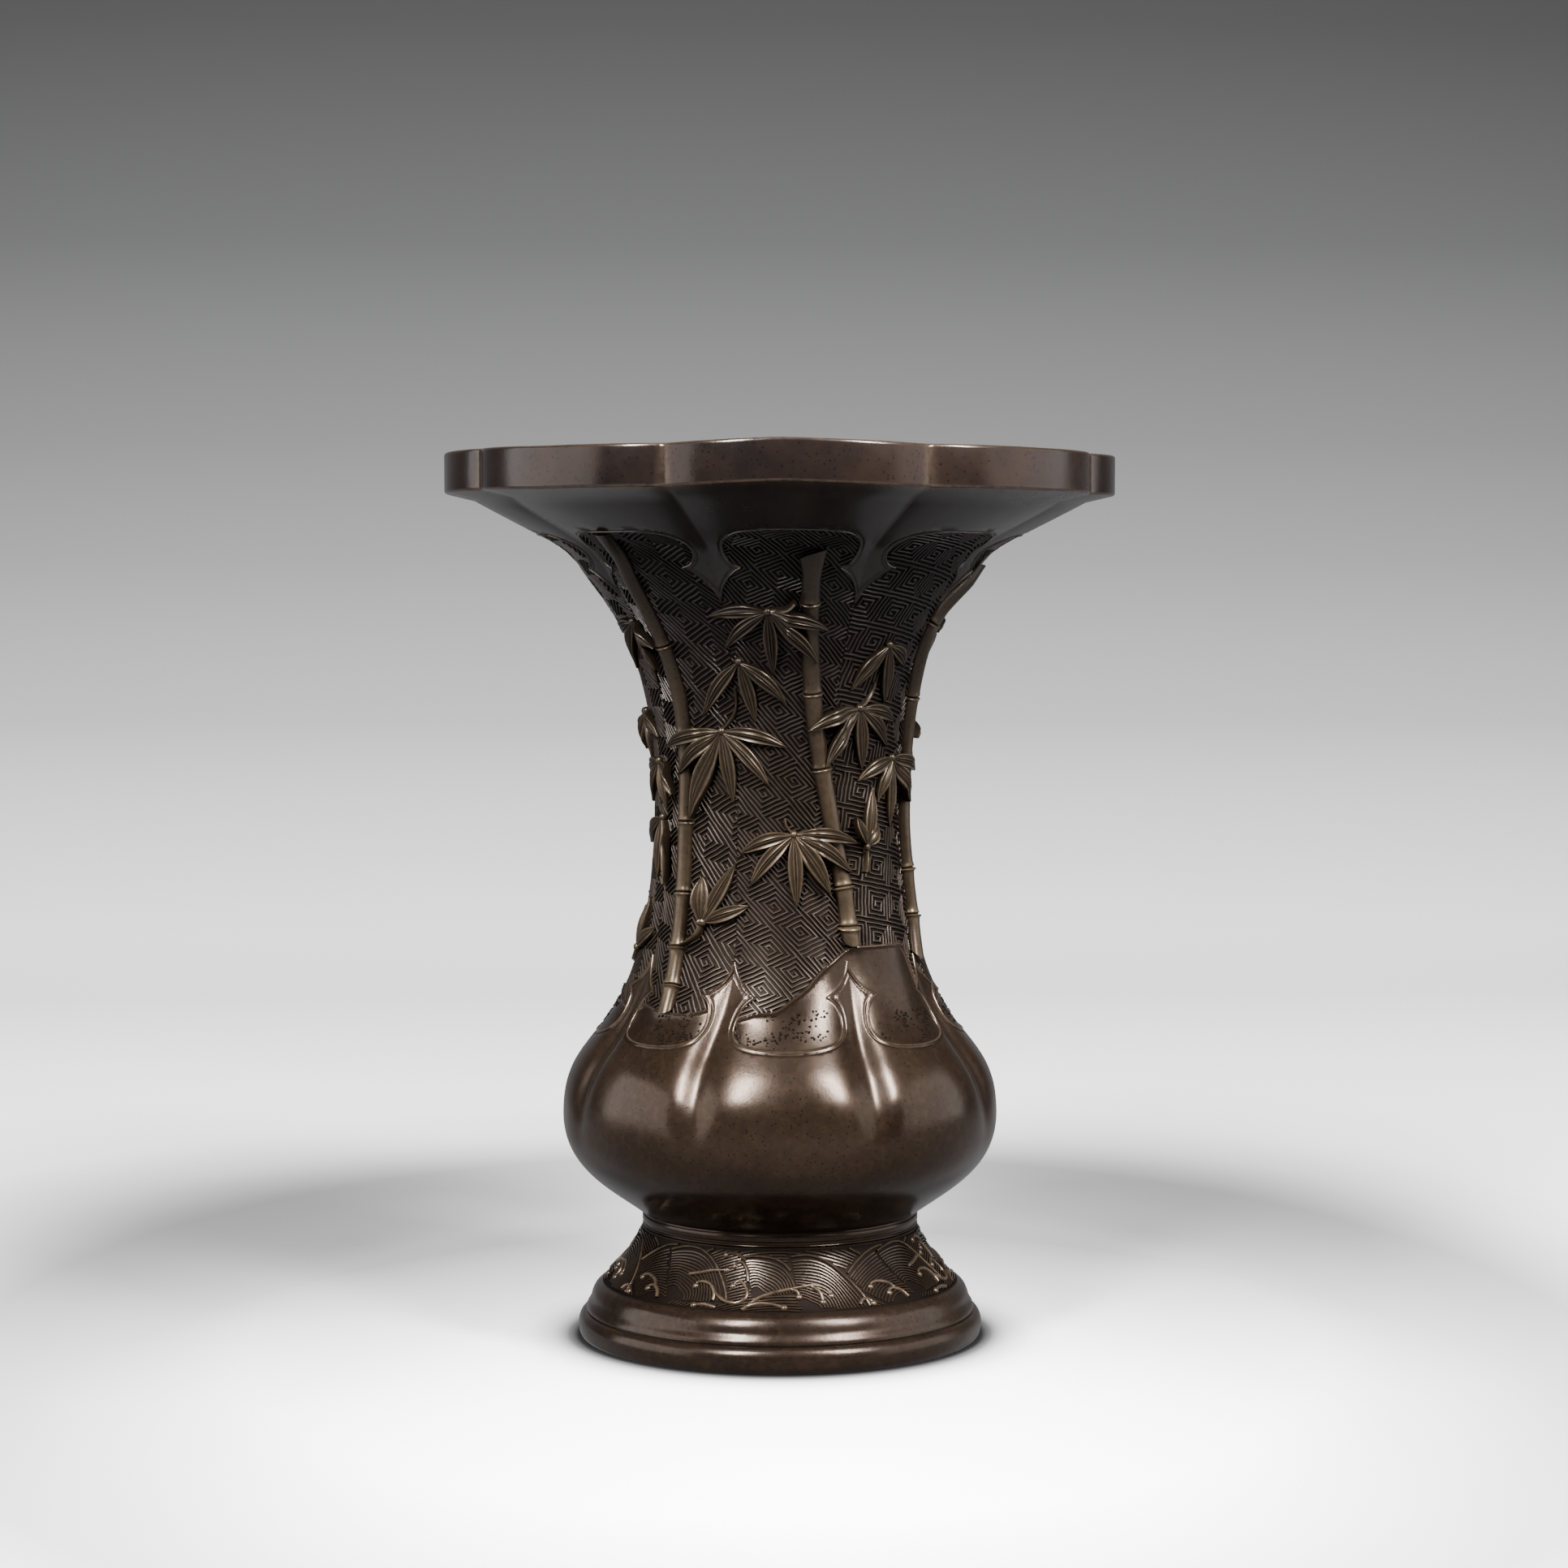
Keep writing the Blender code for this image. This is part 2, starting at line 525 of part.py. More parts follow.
class Route:
    """Line over the surface through hand-picked places, which a cane follows."""

    def __init__(self, surface, places):
        self.surface = surface
        stops = [places[0], *places, places[-1]]
        self.angles = []
        self.heights = []
        for before, start, end, after in zip(stops, stops[1:], stops[2:], stops[3:]):
            for step in range(ROUTE_STEPS):
                stretch = zip(before, start, end, after)
                angle, height = [smooth_between(*values, step / ROUTE_STEPS) for values in stretch]
                self.angles.append(math.radians(angle))
                self.heights.append(MM * height)
        self.angles.append(math.radians(places[-1][0]))
        self.heights.append(MM * places[-1][1])
        line = [surface.point(angle, height, 0.0) for angle, height in zip(self.angles, self.heights)]
        self.lengths = [0.0]
        for start, end in zip(line, line[1:]):
            self.lengths.append(self.lengths[-1] + (end - start).length)
        self.line = line

    def length_at(self, height):
        return float(np.interp(height, self.heights, self.lengths))

    def at(self, length):
        return (float(np.interp(length, self.lengths, self.angles)),
                float(np.interp(length, self.lengths, self.heights)))

    def bend(self, across, along, lift):
        """Place of a point of a straight cane, once the cane lies on the vase."""
        angle, height = self.at(along)
        before = self.at(along - MM)
        after = self.at(along + MM)
        rise = self.surface.arc_between(before[1], after[1])
        turn = (after[0] - before[0]) * self.surface.lobed_radius(angle, height)
        run = math.hypot(rise, turn)
        return self.surface.place(angle, height, across * rise / run, -across * turn / run, lift)

    def distance(self, point):
        return min((point - other).length for other in self.line)


def smooth_between(before, start, end, after, share):
    """Value on a smooth curve through four others, between the middle two."""
    return 0.5 * (2 * start + (end - before) * share
                  + (2 * before - 5 * start + 4 * end - after) * share ** 2
                  + (3 * start - before - 3 * end + after) * share ** 3)


def cane_profile(length, nodes):
    """Profile of a straight cane that stands on its foot, from its tip down."""
    def radius(along):
        return (CANE_WIDTH + (CANE_TIP_WIDTH - CANE_WIDTH) * along / length) / 2

    stops = {0.0: radius(0.0), length: radius(length)}
    ends = [0.0, *nodes, length]
    for start, end in zip(ends, ends[1:]):
        gap = end - start
        pieces = max(1, round(gap / CANE_STEP))
        for piece in range(1, pieces):
            along = start + gap * piece / pieces
            stops[along] = radius(along)
    for node in nodes:
        stops[node - NODE_WIDTH / 2] = radius(node) + NODE_SWELL
        stops[node + NODE_WIDTH / 2] = radius(node) - NODE_DIP
    ordered = sorted(stops.items(), reverse=True)
    return [(0.0, length)] + [(size, along) for along, size in ordered] + [(0.0, 0.0)]


def make_cane(name, route, nodes, collection):
    length = route.lengths[-1]
    marks = [route.length_at(MM * height) for height in nodes]
    mesh = turned_mesh(name, cane_profile(length, marks), False, CANE_SIDES)
    flatten = CANE_RELIEF / (CANE_TIP_WIDTH / 2)
    for vertex in mesh.vertices:
        across, depth, along = vertex.co
        if math.hypot(across, depth) < CLEARANCE:
            lift = CANE_RELIEF / 2
        elif depth < -CLEARANCE:
            lift = -depth * flatten
        else:
            lift = -route.surface.sinking(*route.at(along))
        vertex.co = route.bend(across, along, SOLDER_FILM + lift)
    return add_object(name, mesh, "cane", collection)


def leaf_stations(direction, length, room, is_twig, crossing):
    """Stations along a leaf or a twig: distance, sideways arch and half width."""
    if is_twig:
        return [(HUB_RADIUS + share * (length - HUB_RADIUS), 0.0, TWIG_HALF_WIDTH)
                for share in TWIG_STATIONS]
    shares = CROSSING_STATIONS if crossing else LEAF_STATIONS
    hangs = math.cos(direction) < 0.0
    droop = -LEAF_ARCH * math.sin(direction) if hangs else 0.0
    stations = []
    for share in shares:
        swell = math.sin(math.pi * share ** 0.8)
        half = max(LEAF_TIP_SHARE, swell) * LEAF_HALF_WIDTH
        reach = HUB_RADIUS + share * (length - HUB_RADIUS)
        free = reach * math.sin(min(room / 2, math.pi / 2)) - LEAF_GAP
        stations.append((reach, droop * share * (1 - share) * length, min(half, free)))
    return stations


def polar(direction, reach, lift):
    """Point at a reach from the hub, where a direction of 0 is up and grows clockwise."""
    return reach * math.sin(direction), reach * math.cos(direction), lift


def gaps_after(arms):
    """Turn from each arm of a spray to the next one."""
    nexts = arms[1:] + arms[:1]
    return [(later[0] - arm[0]) % math.tau for arm, later in zip(arms, nexts)]


def spray_sheet(arms, crossings):
    """Flat sheet of a spray: a hub with an arm for each leaf and twig."""
    work = bmesh.new()
    half = math.asin(LEAF_BASE_HALF_WIDTH / HUB_RADIUS)
    arms = sorted(arms)
    ring = []
    chains = []
    gaps = gaps_after(arms)
    for direction, after in zip([arm[0] for arm in arms], gaps):
        chain = []
        for turn, lift in ((-half, LEAF_EDGE), (0.0, LEAF_RIB), (half, LEAF_EDGE)):
            chain.append(work.verts.new(polar(direction + turn, HUB_RADIUS, lift)))
        chains.append(chain)
        ring += chain
        fillers = int(after / HUB_BARE_TURN)
        for filler in range(1, fillers + 1):
            turn = after * filler / (fillers + 1)
            ring.append(work.verts.new(polar(direction + turn, HUB_BARE_RADIUS, LEAF_EDGE)))
    hub = work.faces.new(ring)
    for index, (direction, length, is_twig) in enumerate(arms):
        room = min(gaps[index - 1], gaps[index])
        forward = Vector((math.sin(direction), math.cos(direction), 0.0))
        side = Vector((math.cos(direction), -math.sin(direction), 0.0))
        chain = [work.edges.get(pair) for pair in zip(chains[index], chains[index][1:])]
        for reach, arch, half in leaf_stations(direction, length, room, is_twig, crossings[direction]):
            grown = bmesh.ops.extrude_edge_only(work, edges=chain)["geom"]
            rows = [item for item in grown if isinstance(item, bmesh.types.BMVert)]
            rows.sort(key=lambda vert: vert.co.dot(side))
            for vert, offset, lift in zip(rows, (-half, 0.0, half), (LEAF_EDGE, LEAF_RIB, LEAF_EDGE)):
                vert.co = forward * reach + side * (arch + offset) + Vector((0, 0, lift))
            chain = [item for item in grown if isinstance(item, bmesh.types.BMEdge)
                     and all(vert in rows for vert in item.verts)]
    bmesh.ops.poke(work, faces=[hub])["verts"][0].co = (0.0, 0.0, HUB_RELIEF)
    return work


def make_spray(name, surface, routes, collection):
    (hub_angle, hub_height), leaves, twigs = SPRAYS[name]
    hub_angle = math.radians(hub_angle)
    hub_height = MM * hub_height
    arms = [(math.radians(direction) % math.tau, MM * length, False) for direction, length in leaves]
    arms += [(math.radians(direction) % math.tau, MM * length, True) for direction, length in twigs]

    def hump(across, up):
        """Extra lift that carries a leaf over a cane."""
        spot = surface.place(hub_angle, hub_height, across, up, 0.0)
        gap = min(route.distance(spot) for route in routes) - CANE_TIP_WIDTH / 2
        share = max(0.0, min(1.0, 1.0 - (gap - CROSSING_REACH) / CROSSING_FADE))
        return (CANE_RELIEF + NODE_SWELL + SOLDER_FILM) * share * share * (3 - 2 * share)

    crossings = {direction: hump(length * math.sin(direction), length * math.cos(direction)) > 0
                 for direction, length, is_twig in arms}
    work = spray_sheet(arms, crossings)
    tops = list(work.verts)
    back = bmesh.ops.extrude_face_region(work, geom=list(work.faces))["geom"]
    for item in back:
        if isinstance(item, bmesh.types.BMVert):
            item.co.z = 0.0
    bmesh.ops.recalc_face_normals(work, faces=work.faces)
    for vert in work.verts:
        across, up, lift = vert.co
        raised = hump(across, up)
        if lift == 0.0 and raised == 0.0:
            reached = surface.climb(hub_height, up)
            lift = -surface.sinking(hub_angle + across / surface.lobed_radius(hub_angle, reached), reached)
        vert.co = surface.place(hub_angle, hub_height, across, up, SOLDER_FILM + lift + raised)
    mesh = bpy.data.meshes.new(name)
    work.to_mesh(mesh)
    work.free()
    return add_object(name, mesh, "leaf", collection)


def main():
    for leftover in list(bpy.data.objects):
        bpy.data.objects.remove(leftover)
    collection = make_collection("baluster_vase")
    surface = Surface()
    make_body(surface, collection)
    make_foot(collection)
    make_plate(collection)
    routes = []
    for name, (places, nodes) in CANES.items():
        route = Route(surface, places)
        routes.append(route)
        make_cane(name, route, nodes, collection)
    for name in SPRAYS:
        make_spray(name, surface, routes, collection)


main()
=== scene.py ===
import math
import random

import bmesh
import bpy
import numpy as np
from mathutils import Matrix, Vector
from mathutils.geometry import interpolate_bezier


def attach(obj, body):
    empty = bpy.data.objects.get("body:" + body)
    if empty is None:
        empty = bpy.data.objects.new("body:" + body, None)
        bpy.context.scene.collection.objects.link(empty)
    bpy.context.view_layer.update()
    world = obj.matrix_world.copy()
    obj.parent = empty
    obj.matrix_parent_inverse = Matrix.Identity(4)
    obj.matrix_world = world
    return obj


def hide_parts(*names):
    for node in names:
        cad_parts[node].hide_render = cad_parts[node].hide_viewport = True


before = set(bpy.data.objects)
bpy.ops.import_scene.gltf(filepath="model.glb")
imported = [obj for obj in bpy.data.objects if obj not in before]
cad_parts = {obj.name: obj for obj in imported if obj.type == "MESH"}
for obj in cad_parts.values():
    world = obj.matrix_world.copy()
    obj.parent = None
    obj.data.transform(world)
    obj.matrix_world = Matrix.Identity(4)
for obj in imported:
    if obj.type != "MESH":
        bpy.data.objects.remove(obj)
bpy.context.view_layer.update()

# The bronze baluster vase. Lengths are in millimetres until a mesh is placed, and angles in
# degrees, from the front of the vase towards its right. Heights of the bamboo are measured
# from the body's seat, as in the part, and every other height from the floor.

MILLIMETRE = 0.001
SEAT = 37.8
FOOT_HEIGHT = 37.5
BODY_HEIGHT = 262.2
RIM_RADIUS = 113.0
RIM_BAND = 13.4
RIM_WALL = 6.0
BODY_WALL = 3.0
SPIGOT_RADIUS = 43.3
SPIGOT_BORE = 40.1
SPIGOT_LENGTH = 4.8
WAIST_HEIGHT = 150.2
DISH_HEIGHT = 246.4
SHOULDER_HEIGHT = 64.0
LOBE_END_HEIGHT = 24.0
LOBES = 8
LOBE_STEP = 360 / LOBES

# How far the body is pressed in at the ends of its lobes: at the waist, and more at the dish and belly
WAIST_PRESS = 0.8
DISH_PRESS = 4.7
BELLY_PRESS = 2.8

# Columns of vertices are drawn towards the lobes' ends by this many degrees
COLUMN_PULL = 3.4

# The carving lies between these heights
CARVING_LOW = 96.0
CARVING_HIGH = 280.0

# The rim isn't quite level: how far it lies under its full height at each angle
RIM_SAG_ANGLES = (-180, -110, -68, -45, -22, -3, 20, 45, 68, 110, 180)
RIM_SAG_DEPTHS = (0.5, 0.8, 0.7, 1.5, 1.4, 0.0, 1.4, 1.8, 1.8, 0.8, 0.5)
SAG_START = 262.0
SAG_END = 288.0

# Nor are the lobes quite even: how far their ends lean, low on the belly and at the lower cusps
LEAN_ANGLES = (-180, -68, -22.5, 22.5, 68, 180)
BELLY_LEAN = (0, -1.0, -3.2, 0.2, 0, 0)
CUSP_LEAN = (0, 0, 1.1, 2.4, 0.5, 0)
BELLY_LEAN_TOP = 96.0
CUSP_LEAN_HEIGHTS = (130.0, 134.0)
LEAN_TOP = 165.0

# Depths of the carving
GROUND_DEPTH = 0.8
FRET_DEPTH = 0.12
BANK_DEPTH = 0.15
BEAD_WIDTH = 0.95

CANE_WIDTH = 5.6
CANE_TIP_WIDTH = 6.2
CANE_RELIEF = 2.7
SOLDER_FILM = 0.3
LEAF_WIDTH = 5.0

# Outline of the carved ground over one half of a lobe, as (angle from its middle, height)
LOWER_EDGE = (
    ((22.5, 131.6), (21.6, 129.2), (20.0, 126.6), (16.8, 123.2), (12.3, 120.6)),
    ((12.3, 120.6), (14.7, 119.2), (16.5, 116.9), (17.4, 113.6), (17.2, 110.0), (15.2, 107.0),
     (10.5, 105.2), (5.0, 104.5), (0.0, 104.3)),
)
UPPER_EDGE = (
    ((22.5, 249.8), (21.2, 253.2), (18.6, 256.9), (16.2, 259.2), (13.9, 260.5)),
    ((13.9, 260.5), (16.4, 261.6), (17.9, 263.8), (18.1, 266.4), (16.9, 269.3), (13.6, 271.5),
     (8.5, 272.3), (4.0, 272.5), (0.0, 272.5)),
)

# Banks that the bamboo grows from: their top lines, as (angle, height)
BANKS = {
    "bank_left": ((-64, 113.8), (-59, 116.5), (-52, 115.6), (-44, 115.0), (-36, 115.2), (-26, 117.8)),
    "bank_front": ((-19, 113.8), (-15, 115.0), (-11.5, 116.1), (-4.5, 117.0), (1.2, 120.6), (6.1, 123.7),
                   (11.6, 128.4), (18.2, 132.2), (23.3, 134.8), (27.8, 136.4), (36, 136.6), (48.5, 136.4),
                   (57, 135), (61, 121.8), (64, 115.8)),
    "bank_right": ((71, 113.8), (76, 117), (83, 119), (92, 118), (100, 121), (109, 114.8)),
    "bank_back_right": ((116, 112.8), (123, 117.8), (130, 122), (139, 127), (147, 126), (154, 114.8)),
    "bank_back": ((161, 112.8), (168, 116), (176, 119), (184, 124), (191, 126), (199, 115.8)),
    "bank_back_left": ((-154, 113.8), (-149, 116.5), (-142, 117), (-134, 115), (-124, 118), (-116, 112.8)),
    "bank_side_left": ((-109, 112.8), (-102, 117), (-94, 120), (-86, 118), (-71, 113.8)),
}

CANES = {
    "cane_front": (
        ((27.2, 101), (25.5, 117), (20.5, 139.5), (13.2, 168), (9.4, 188), (6.5, 211), (5.6, 227)),
        (105, 118, 157, 182, 212),
    ),
    "cane_left": (
        ((-46, 78), (-48, 97), (-49, 116), (-49.5, 139), (-48.8, 160), (-49, 179), (-50.5, 196),
         (-51.5, 213), (-49.8, 228), (-48.0, 234)),
        (85, 97.5, 115.5, 139, 168, 197.5),
    ),
    "cane_right": (
        ((71, 94), (74.5, 107), (74.5, 122), (73, 138), (76, 160), (74, 181), (70, 197), (69, 208),
         (79, 223.5)),
        (106, 122, 150, 180, 205),
    ),
    "cane_back_left": (
        ((-108, 90), (-111, 106), (-113, 130), (-110, 158), (-108, 182), (-108, 204)),
        (97, 112, 136, 164, 192),
    ),
    "cane_back": (
        ((178, 88), (181, 108), (183, 134), (182, 162), (180, 190), (183, 220)),
        (96, 118, 146, 172, 206),
    ),
    "cane_back_right": (
        ((133, 80), (131, 102), (129, 126), (130, 152), (132, 180), (131, 206)),
        (88, 106, 134, 160, 188),
    ),
}

# Leaf sprays: hub as (angle, height), leaves and twigs as (direction, length), 0 up
SPRAYS = {
    "spray_01": ((-7, 209), ((-96, 19), (-131, 20), (177, 22), (138, 23), (106, 19)), ((60, 10),)),
    "spray_02": ((-19, 192.7), ((-143, 22), (168, 20), (134, 19.5)), ()),
    "spray_03": ((-28.7, 169.5), ((-105, 21.5), (-133, 20), (-160, 30), (172, 22.5), (139, 22.5), (104, 21)),
                 ((20, 15.5),)),
    "spray_04": ((32.3, 177), ((-111, 18.5), (-148, 21.5), (172, 19.5), (132, 18.5), (105, 17.5)),
                 ((29, 10),)),
    "spray_05": ((40.4, 198), ((-146, 18), (167, 20), (122, 14)), ()),
    "spray_06": ((55.7, 160), ((-114, 16.5), (-153, 14.5), (180, 22), (143, 18), (107, 15)), ()),
    "spray_07": ((37.9, 131), ((-28, 10), (10, 18.5), (44, 8)), ((-162, 9),)),
    "spray_08": ((2.9, 135.6), ((-110, 17.5), (-140, 20.5), (178, 22.5), (151, 21.5), (125, 21.5), (99, 20)),
                 ((-26, 6),)),
    "spray_09": ((-36, 106.2), ((-3, 14), (27, 21), (69, 15.5)), ((-144, 10),)),
    "spray_10": ((-68, 205.7), ((123, 15), (148, 18.5), (174, 22), (-141, 21.5), (-110, 12)), ()),
    "spray_11": ((-94, 175), ((-150, 14), (168, 16), (118, 17)), ()),
    "spray_12": ((-72.5, 158.7), ((-110, 13), (-138, 18), (167, 15), (129, 16)), ()),
    "spray_13": ((-69, 139.8), ((-121, 17), (-172, 19.5), (160, 22)), ()),
    "spray_14": ((-84, 95), ((-30, 15), (12, 17), (56, 13)), ((-120, 10),)),
    "spray_15": ((-132, 190), ((-106, 18), (-142, 19), (176, 21), (138, 20), (102, 18)), ()),
    "spray_16": ((-140, 158), ((-108, 19), (-146, 18), (174, 20), (136, 18)), ((70, 12),)),
    "spray_17": ((-136, 122), ((-106, 16), (-142, 19), (178, 20), (138, 19)), ()),
    "spray_18": ((-166, 202), ((-104, 17), (-142, 20), (176, 21), (140, 17)), ()),
    "spray_19": ((158, 192), ((-106, 18), (-140, 20), (178, 21), (142, 19), (106, 16)), ()),
    "spray_20": ((155, 158), ((-106, 17), (-142, 19), (176, 20), (138, 20), (102, 17)), ((20, 9),)),
    "spray_21": ((152, 118), ((-40, 14), (0, 17), (40, 14)), ((-110, 11),)),
    "spray_22": ((107, 206), ((-106, 17), (-142, 19), (176, 20), (138, 19)), ()),
    "spray_23": ((103, 172), ((-110, 16), (-146, 19), (176, 20), (138, 18), (104, 15)), ()),
}

# Fret of each lobe, from the front one round to the right: the two sides of one cell, in mm
FRET_CELLS = (
    ((7.7, -9.0), (10.1, 4.7)),
    ((11.7, -2.4), (2.2, 11.8)),
    ((9.4, -7.9), (8.6, 8.4)),
    ((7.9, -9.3), (10.6, 5.2)),
    ((8.6, -8.6), (9.3, 7.8)),
    ((7.7, -9.6), (10.9, 4.4)),
    ((9.2, -8.2), (8.8, 8.2)),
    ((7.9, -9.9), (10.2, 6.0)),
)
FRET_TURNS = 7
FRET_STEP = 0.7
CELLS_EACH_WAY = 14
FRONT_FRET_CORNER = (-12.6, 128.6)
FRET_SECTION = ((-0.36, 0.0), (-0.29, 0.7), (-0.12, 1.0), (0.12, 1.0), (0.29, 0.7), (0.36, 0.0))
# Fret ridge: rubbed on top, dark at its foot where it meets the ground, partly patina and partly painted
# shade.
FRET_WEAR_AND_SHADING = (-1.0, 0.1, 0.9, 0.9, 0.1, -1.0)


def bezier(start, start_pull, end_pull, end, steps):
    """Points of one curve of a profile, each as (radius, height), without its last point."""
    knots = [Vector((x, 0.0, z)) for x, z in (start, start_pull, end_pull, end)]
    return [(point.x, point.z) for point in interpolate_bezier(*knots, steps + 1)[:-1]]


def step_down(point, lean, distance):
    lean = math.radians(lean)
    return point[0] - distance * math.sin(lean), point[1] - distance * math.cos(lean)


def body_curves(dish_steps, flare_steps, neck_steps, bowl_steps):
    """Outer curve of the body over its seat, from the dish down to the throat."""
    dish, edge, waist = (103.2, DISH_HEIGHT), (68.2, 224.2), (42.6, WAIST_HEIGHT)
    belly, throat = (73.9, 38.4), (46.6, 4.5)
    dish_span = math.dist(dish, edge)
    flare_span = edge[1] - waist[1]
    neck_span = waist[1] - belly[1]
    bowl_span = belly[1] - throat[1]
    points = bezier(dish, step_down(dish, 61, 0.85 * dish_span), step_down(edge, 41, -0.23 * dish_span),
                    edge, dish_steps)
    points += bezier(edge, step_down(edge, 30, 0.17 * flare_span),
                     (waist[0], waist[1] + 0.65 * flare_span), waist, flare_steps)
    points += bezier(waist, (waist[0], waist[1] - 0.85 * neck_span),
                     (belly[0], belly[1] + 0.32 * neck_span), belly, neck_steps)
    points += bezier(belly, (belly[0], belly[1] - 0.55 * bowl_span), step_down(throat, 52, -0.42 * bowl_span),
                     throat, bowl_steps)
    return points + [throat]


def inset(points, wall):
    """Inner side of a wall whose outer side runs down through the points."""
    inner = []
    for index, (radius, height) in enumerate(points):
        before = points[max(index - 1, 0)]
        after = points[min(index + 1, len(points) - 1)]
        run = math.dist(before, after)
        inner.append((radius + wall * (after[1] - before[1]) / run,
                      height - wall * (after[0] - before[0]) / run))
    return inner


def rounded(corner, before, after, size, steps=3):
    """Points of a small round laid in a profile's corner."""
    corner, before, after = Vector(corner), Vector(before), Vector(after)
    start = corner + (before - corner).normalized() * size
    end = corner + (after - corner).normalized() * size
    return [tuple(start.lerp(corner, share).lerp(corner.lerp(end, share), share))
            for share in np.linspace(0.0, 1.0, steps + 1)]


def lobe_press(angle, height):
    """How far the body is pressed in at an angle, from the middle of the lobe, in mm."""
    above = np.clip((height - WAIST_HEIGHT) / (DISH_HEIGHT - WAIST_HEIGHT), 0.0, 1.0)
    below = np.clip((WAIST_HEIGHT - height) / (WAIST_HEIGHT - SHOULDER_HEIGHT), 0.0, 1.0)
    ending = np.clip((height - LOBE_END_HEIGHT) / (SHOULDER_HEIGHT - LOBE_END_HEIGHT), 0.0, 1.0)
    upper = WAIST_PRESS + DISH_PRESS * above ** 2
    depth = np.where(height >= WAIST_HEIGHT, upper, WAIST_PRESS + BELLY_PRESS * below ** 3)
    shoulder = (WAIST_PRESS + BELLY_PRESS) * ending * ending * (3 - 2 * ending)
    depth = np.where(height < SHOULDER_HEIGHT, shoulder, depth)
    from_cusp = 1.0 - np.abs(folded(angle, height + SEAT)) / (LOBE_STEP / 2)
    softness = np.interp(height, (SHOULDER_HEIGHT, SHOULDER_HEIGHT + 30, 190, 246), (0.07, 0.03, 0.02, 0.0))
    sharpness = np.interp(height, (190, 246), (2.5, 3.1))
    share = np.maximum(0.0, 1.0 - np.hypot(from_cusp, softness)) ** sharpness
    channel = 0.40 * share + 0.58 * np.exp(-(from_cusp / 0.20) ** 2)
    rounded_off = smooth_share(height, SHOULDER_HEIGHT + 26, SHOULDER_HEIGHT + 2)
    return depth * (share + (channel - share) * rounded_off)


def lean(angle, height):
    """How far the old casting's lobes lean off their true angle, at a height over the floor."""
    side = (np.asarray(angle) + 180) % 360 - 180
    low = np.interp(side, LEAN_ANGLES, BELLY_LEAN)
    high = np.interp(side, LEAN_ANGLES, CUSP_LEAN)
    rising = smooth_share(height, BELLY_LEAN_TOP, CUSP_LEAN_HEIGHTS[0])
    return (low + (high - low) * rising) * (1 - smooth_share(height, CUSP_LEAN_HEIGHTS[1], LEAN_TOP))


def folded(angle, height):
    """Angle from the middle of the lobe that it lies in."""
    return (angle - lean(angle, height) + LOBE_STEP / 2) % LOBE_STEP - LOBE_STEP / 2


def rim_sag(angle):
    """How far the old rim has sunk at an angle, in mm."""
    return np.interp((angle + 180) % 360 - 180, RIM_SAG_ANGLES, RIM_SAG_DEPTHS)


class Skin:
    """Side of a casting, followed up its outer profile. Arcs are distances along it."""

    def __init__(self, points, seat, lobed):
        points = np.array(points)
        self.radii, self.heights = points[:, 0], points[:, 1]
        self.arcs = np.concatenate([[0.0], np.cumsum(np.hypot(*np.diff(points, axis=0).T))])
        self.seat = seat
        self.lobed = lobed
        slopes = np.stack([np.gradient(self.radii, self.arcs), np.gradient(self.heights, self.arcs)])
        slopes /= np.hypot(*slopes)
        self.run, self.rise = slopes

    def radius(self, arc):
        return np.interp(arc, self.arcs, self.radii)

    def arc_at(self, height):
        """Arc at a height over the floor, on the outer side."""
        top = int(np.argmax(self.heights))
        return np.interp(np.asarray(height) - self.seat, self.heights[:top + 1], self.arcs[:top + 1])

    def height_at(self, arc):
        return self.seat + np.interp(arc, self.arcs, self.heights)

    def pressed_radius(self, angle, arc):
        radius = self.radius(arc)
        return radius - lobe_press(angle, self.height_at(arc) - self.seat) if self.lobed else radius

    def place(self, angle, arc, lift):
        """Places in space, as rows, of points over the skin."""
        radius = self.pressed_radius(angle, arc) + lift * np.interp(arc, self.arcs, self.rise)
        height = self.height_at(arc) - lift * np.interp(arc, self.arcs, self.run)
        if self.lobed:
            height = height - rim_sag(angle) * smooth_share(height, SAG_START, SAG_END)
        turn = np.radians(angle)
        return np.stack([radius * np.sin(turn), -radius * np.cos(turn), height], axis=1)

    def lay(self, flat, angle, arc, share=1.0):
        """Places of a flat pattern's points (across, up, lift), laid from an anchor on the skin."""
        across, up, lift = flat.T
        turn = angle + np.degrees(across / self.pressed_radius(angle, arc + share * up))
        return self.place(turn, arc + up, lift)


def smooth_line(points, step):
    """Smooth line through points, with a point at about every step."""
    stops = [Vector(point) for point in (points[0], *points, points[-1])]
    line = []
    for before, start, end, after in zip(stops, stops[1:], stops[2:], stops[3:]):
        count = max(2, round((end - start).length / step))
        for share in np.arange(count) / count:
            line.append(0.5 * (2 * start + (end - before) * share
                               + (2 * before - 5 * start + 4 * end - after) * share ** 2
                               + (3 * start - before - 3 * end + after) * share ** 3))
    return np.array([tuple(point) for point in line] + [tuple(points[-1])])


def line_distance(line, x, y):
    """Distance of each point from a line of straight pieces."""
    best = np.full(np.shape(x), 1e9)
    for (ax, ay), (bx, by) in zip(line, line[1:]):
        span = (bx - ax) ** 2 + (by - ay) ** 2
        share = np.clip(((x - ax) * (bx - ax) + (y - ay) * (by - ay)) / span, 0.0, 1.0)
        best = np.minimum(best, np.hypot(x - ax - share * (bx - ax), y - ay - share * (by - ay)))
    return best


def inside(line, x, y):
    """Whether each point lies inside a closed line."""
    within = np.zeros(np.shape(x), dtype=bool)
    for (ax, ay), (bx, by) in zip(line, np.roll(line, -1, axis=0)):
        crosses = (ay > y) != (by > y)
        reach = ax + (y - ay) * (bx - ax) / (by - ay if by != ay else 1e-9)
        within ^= crosses & (x < reach)
    return within


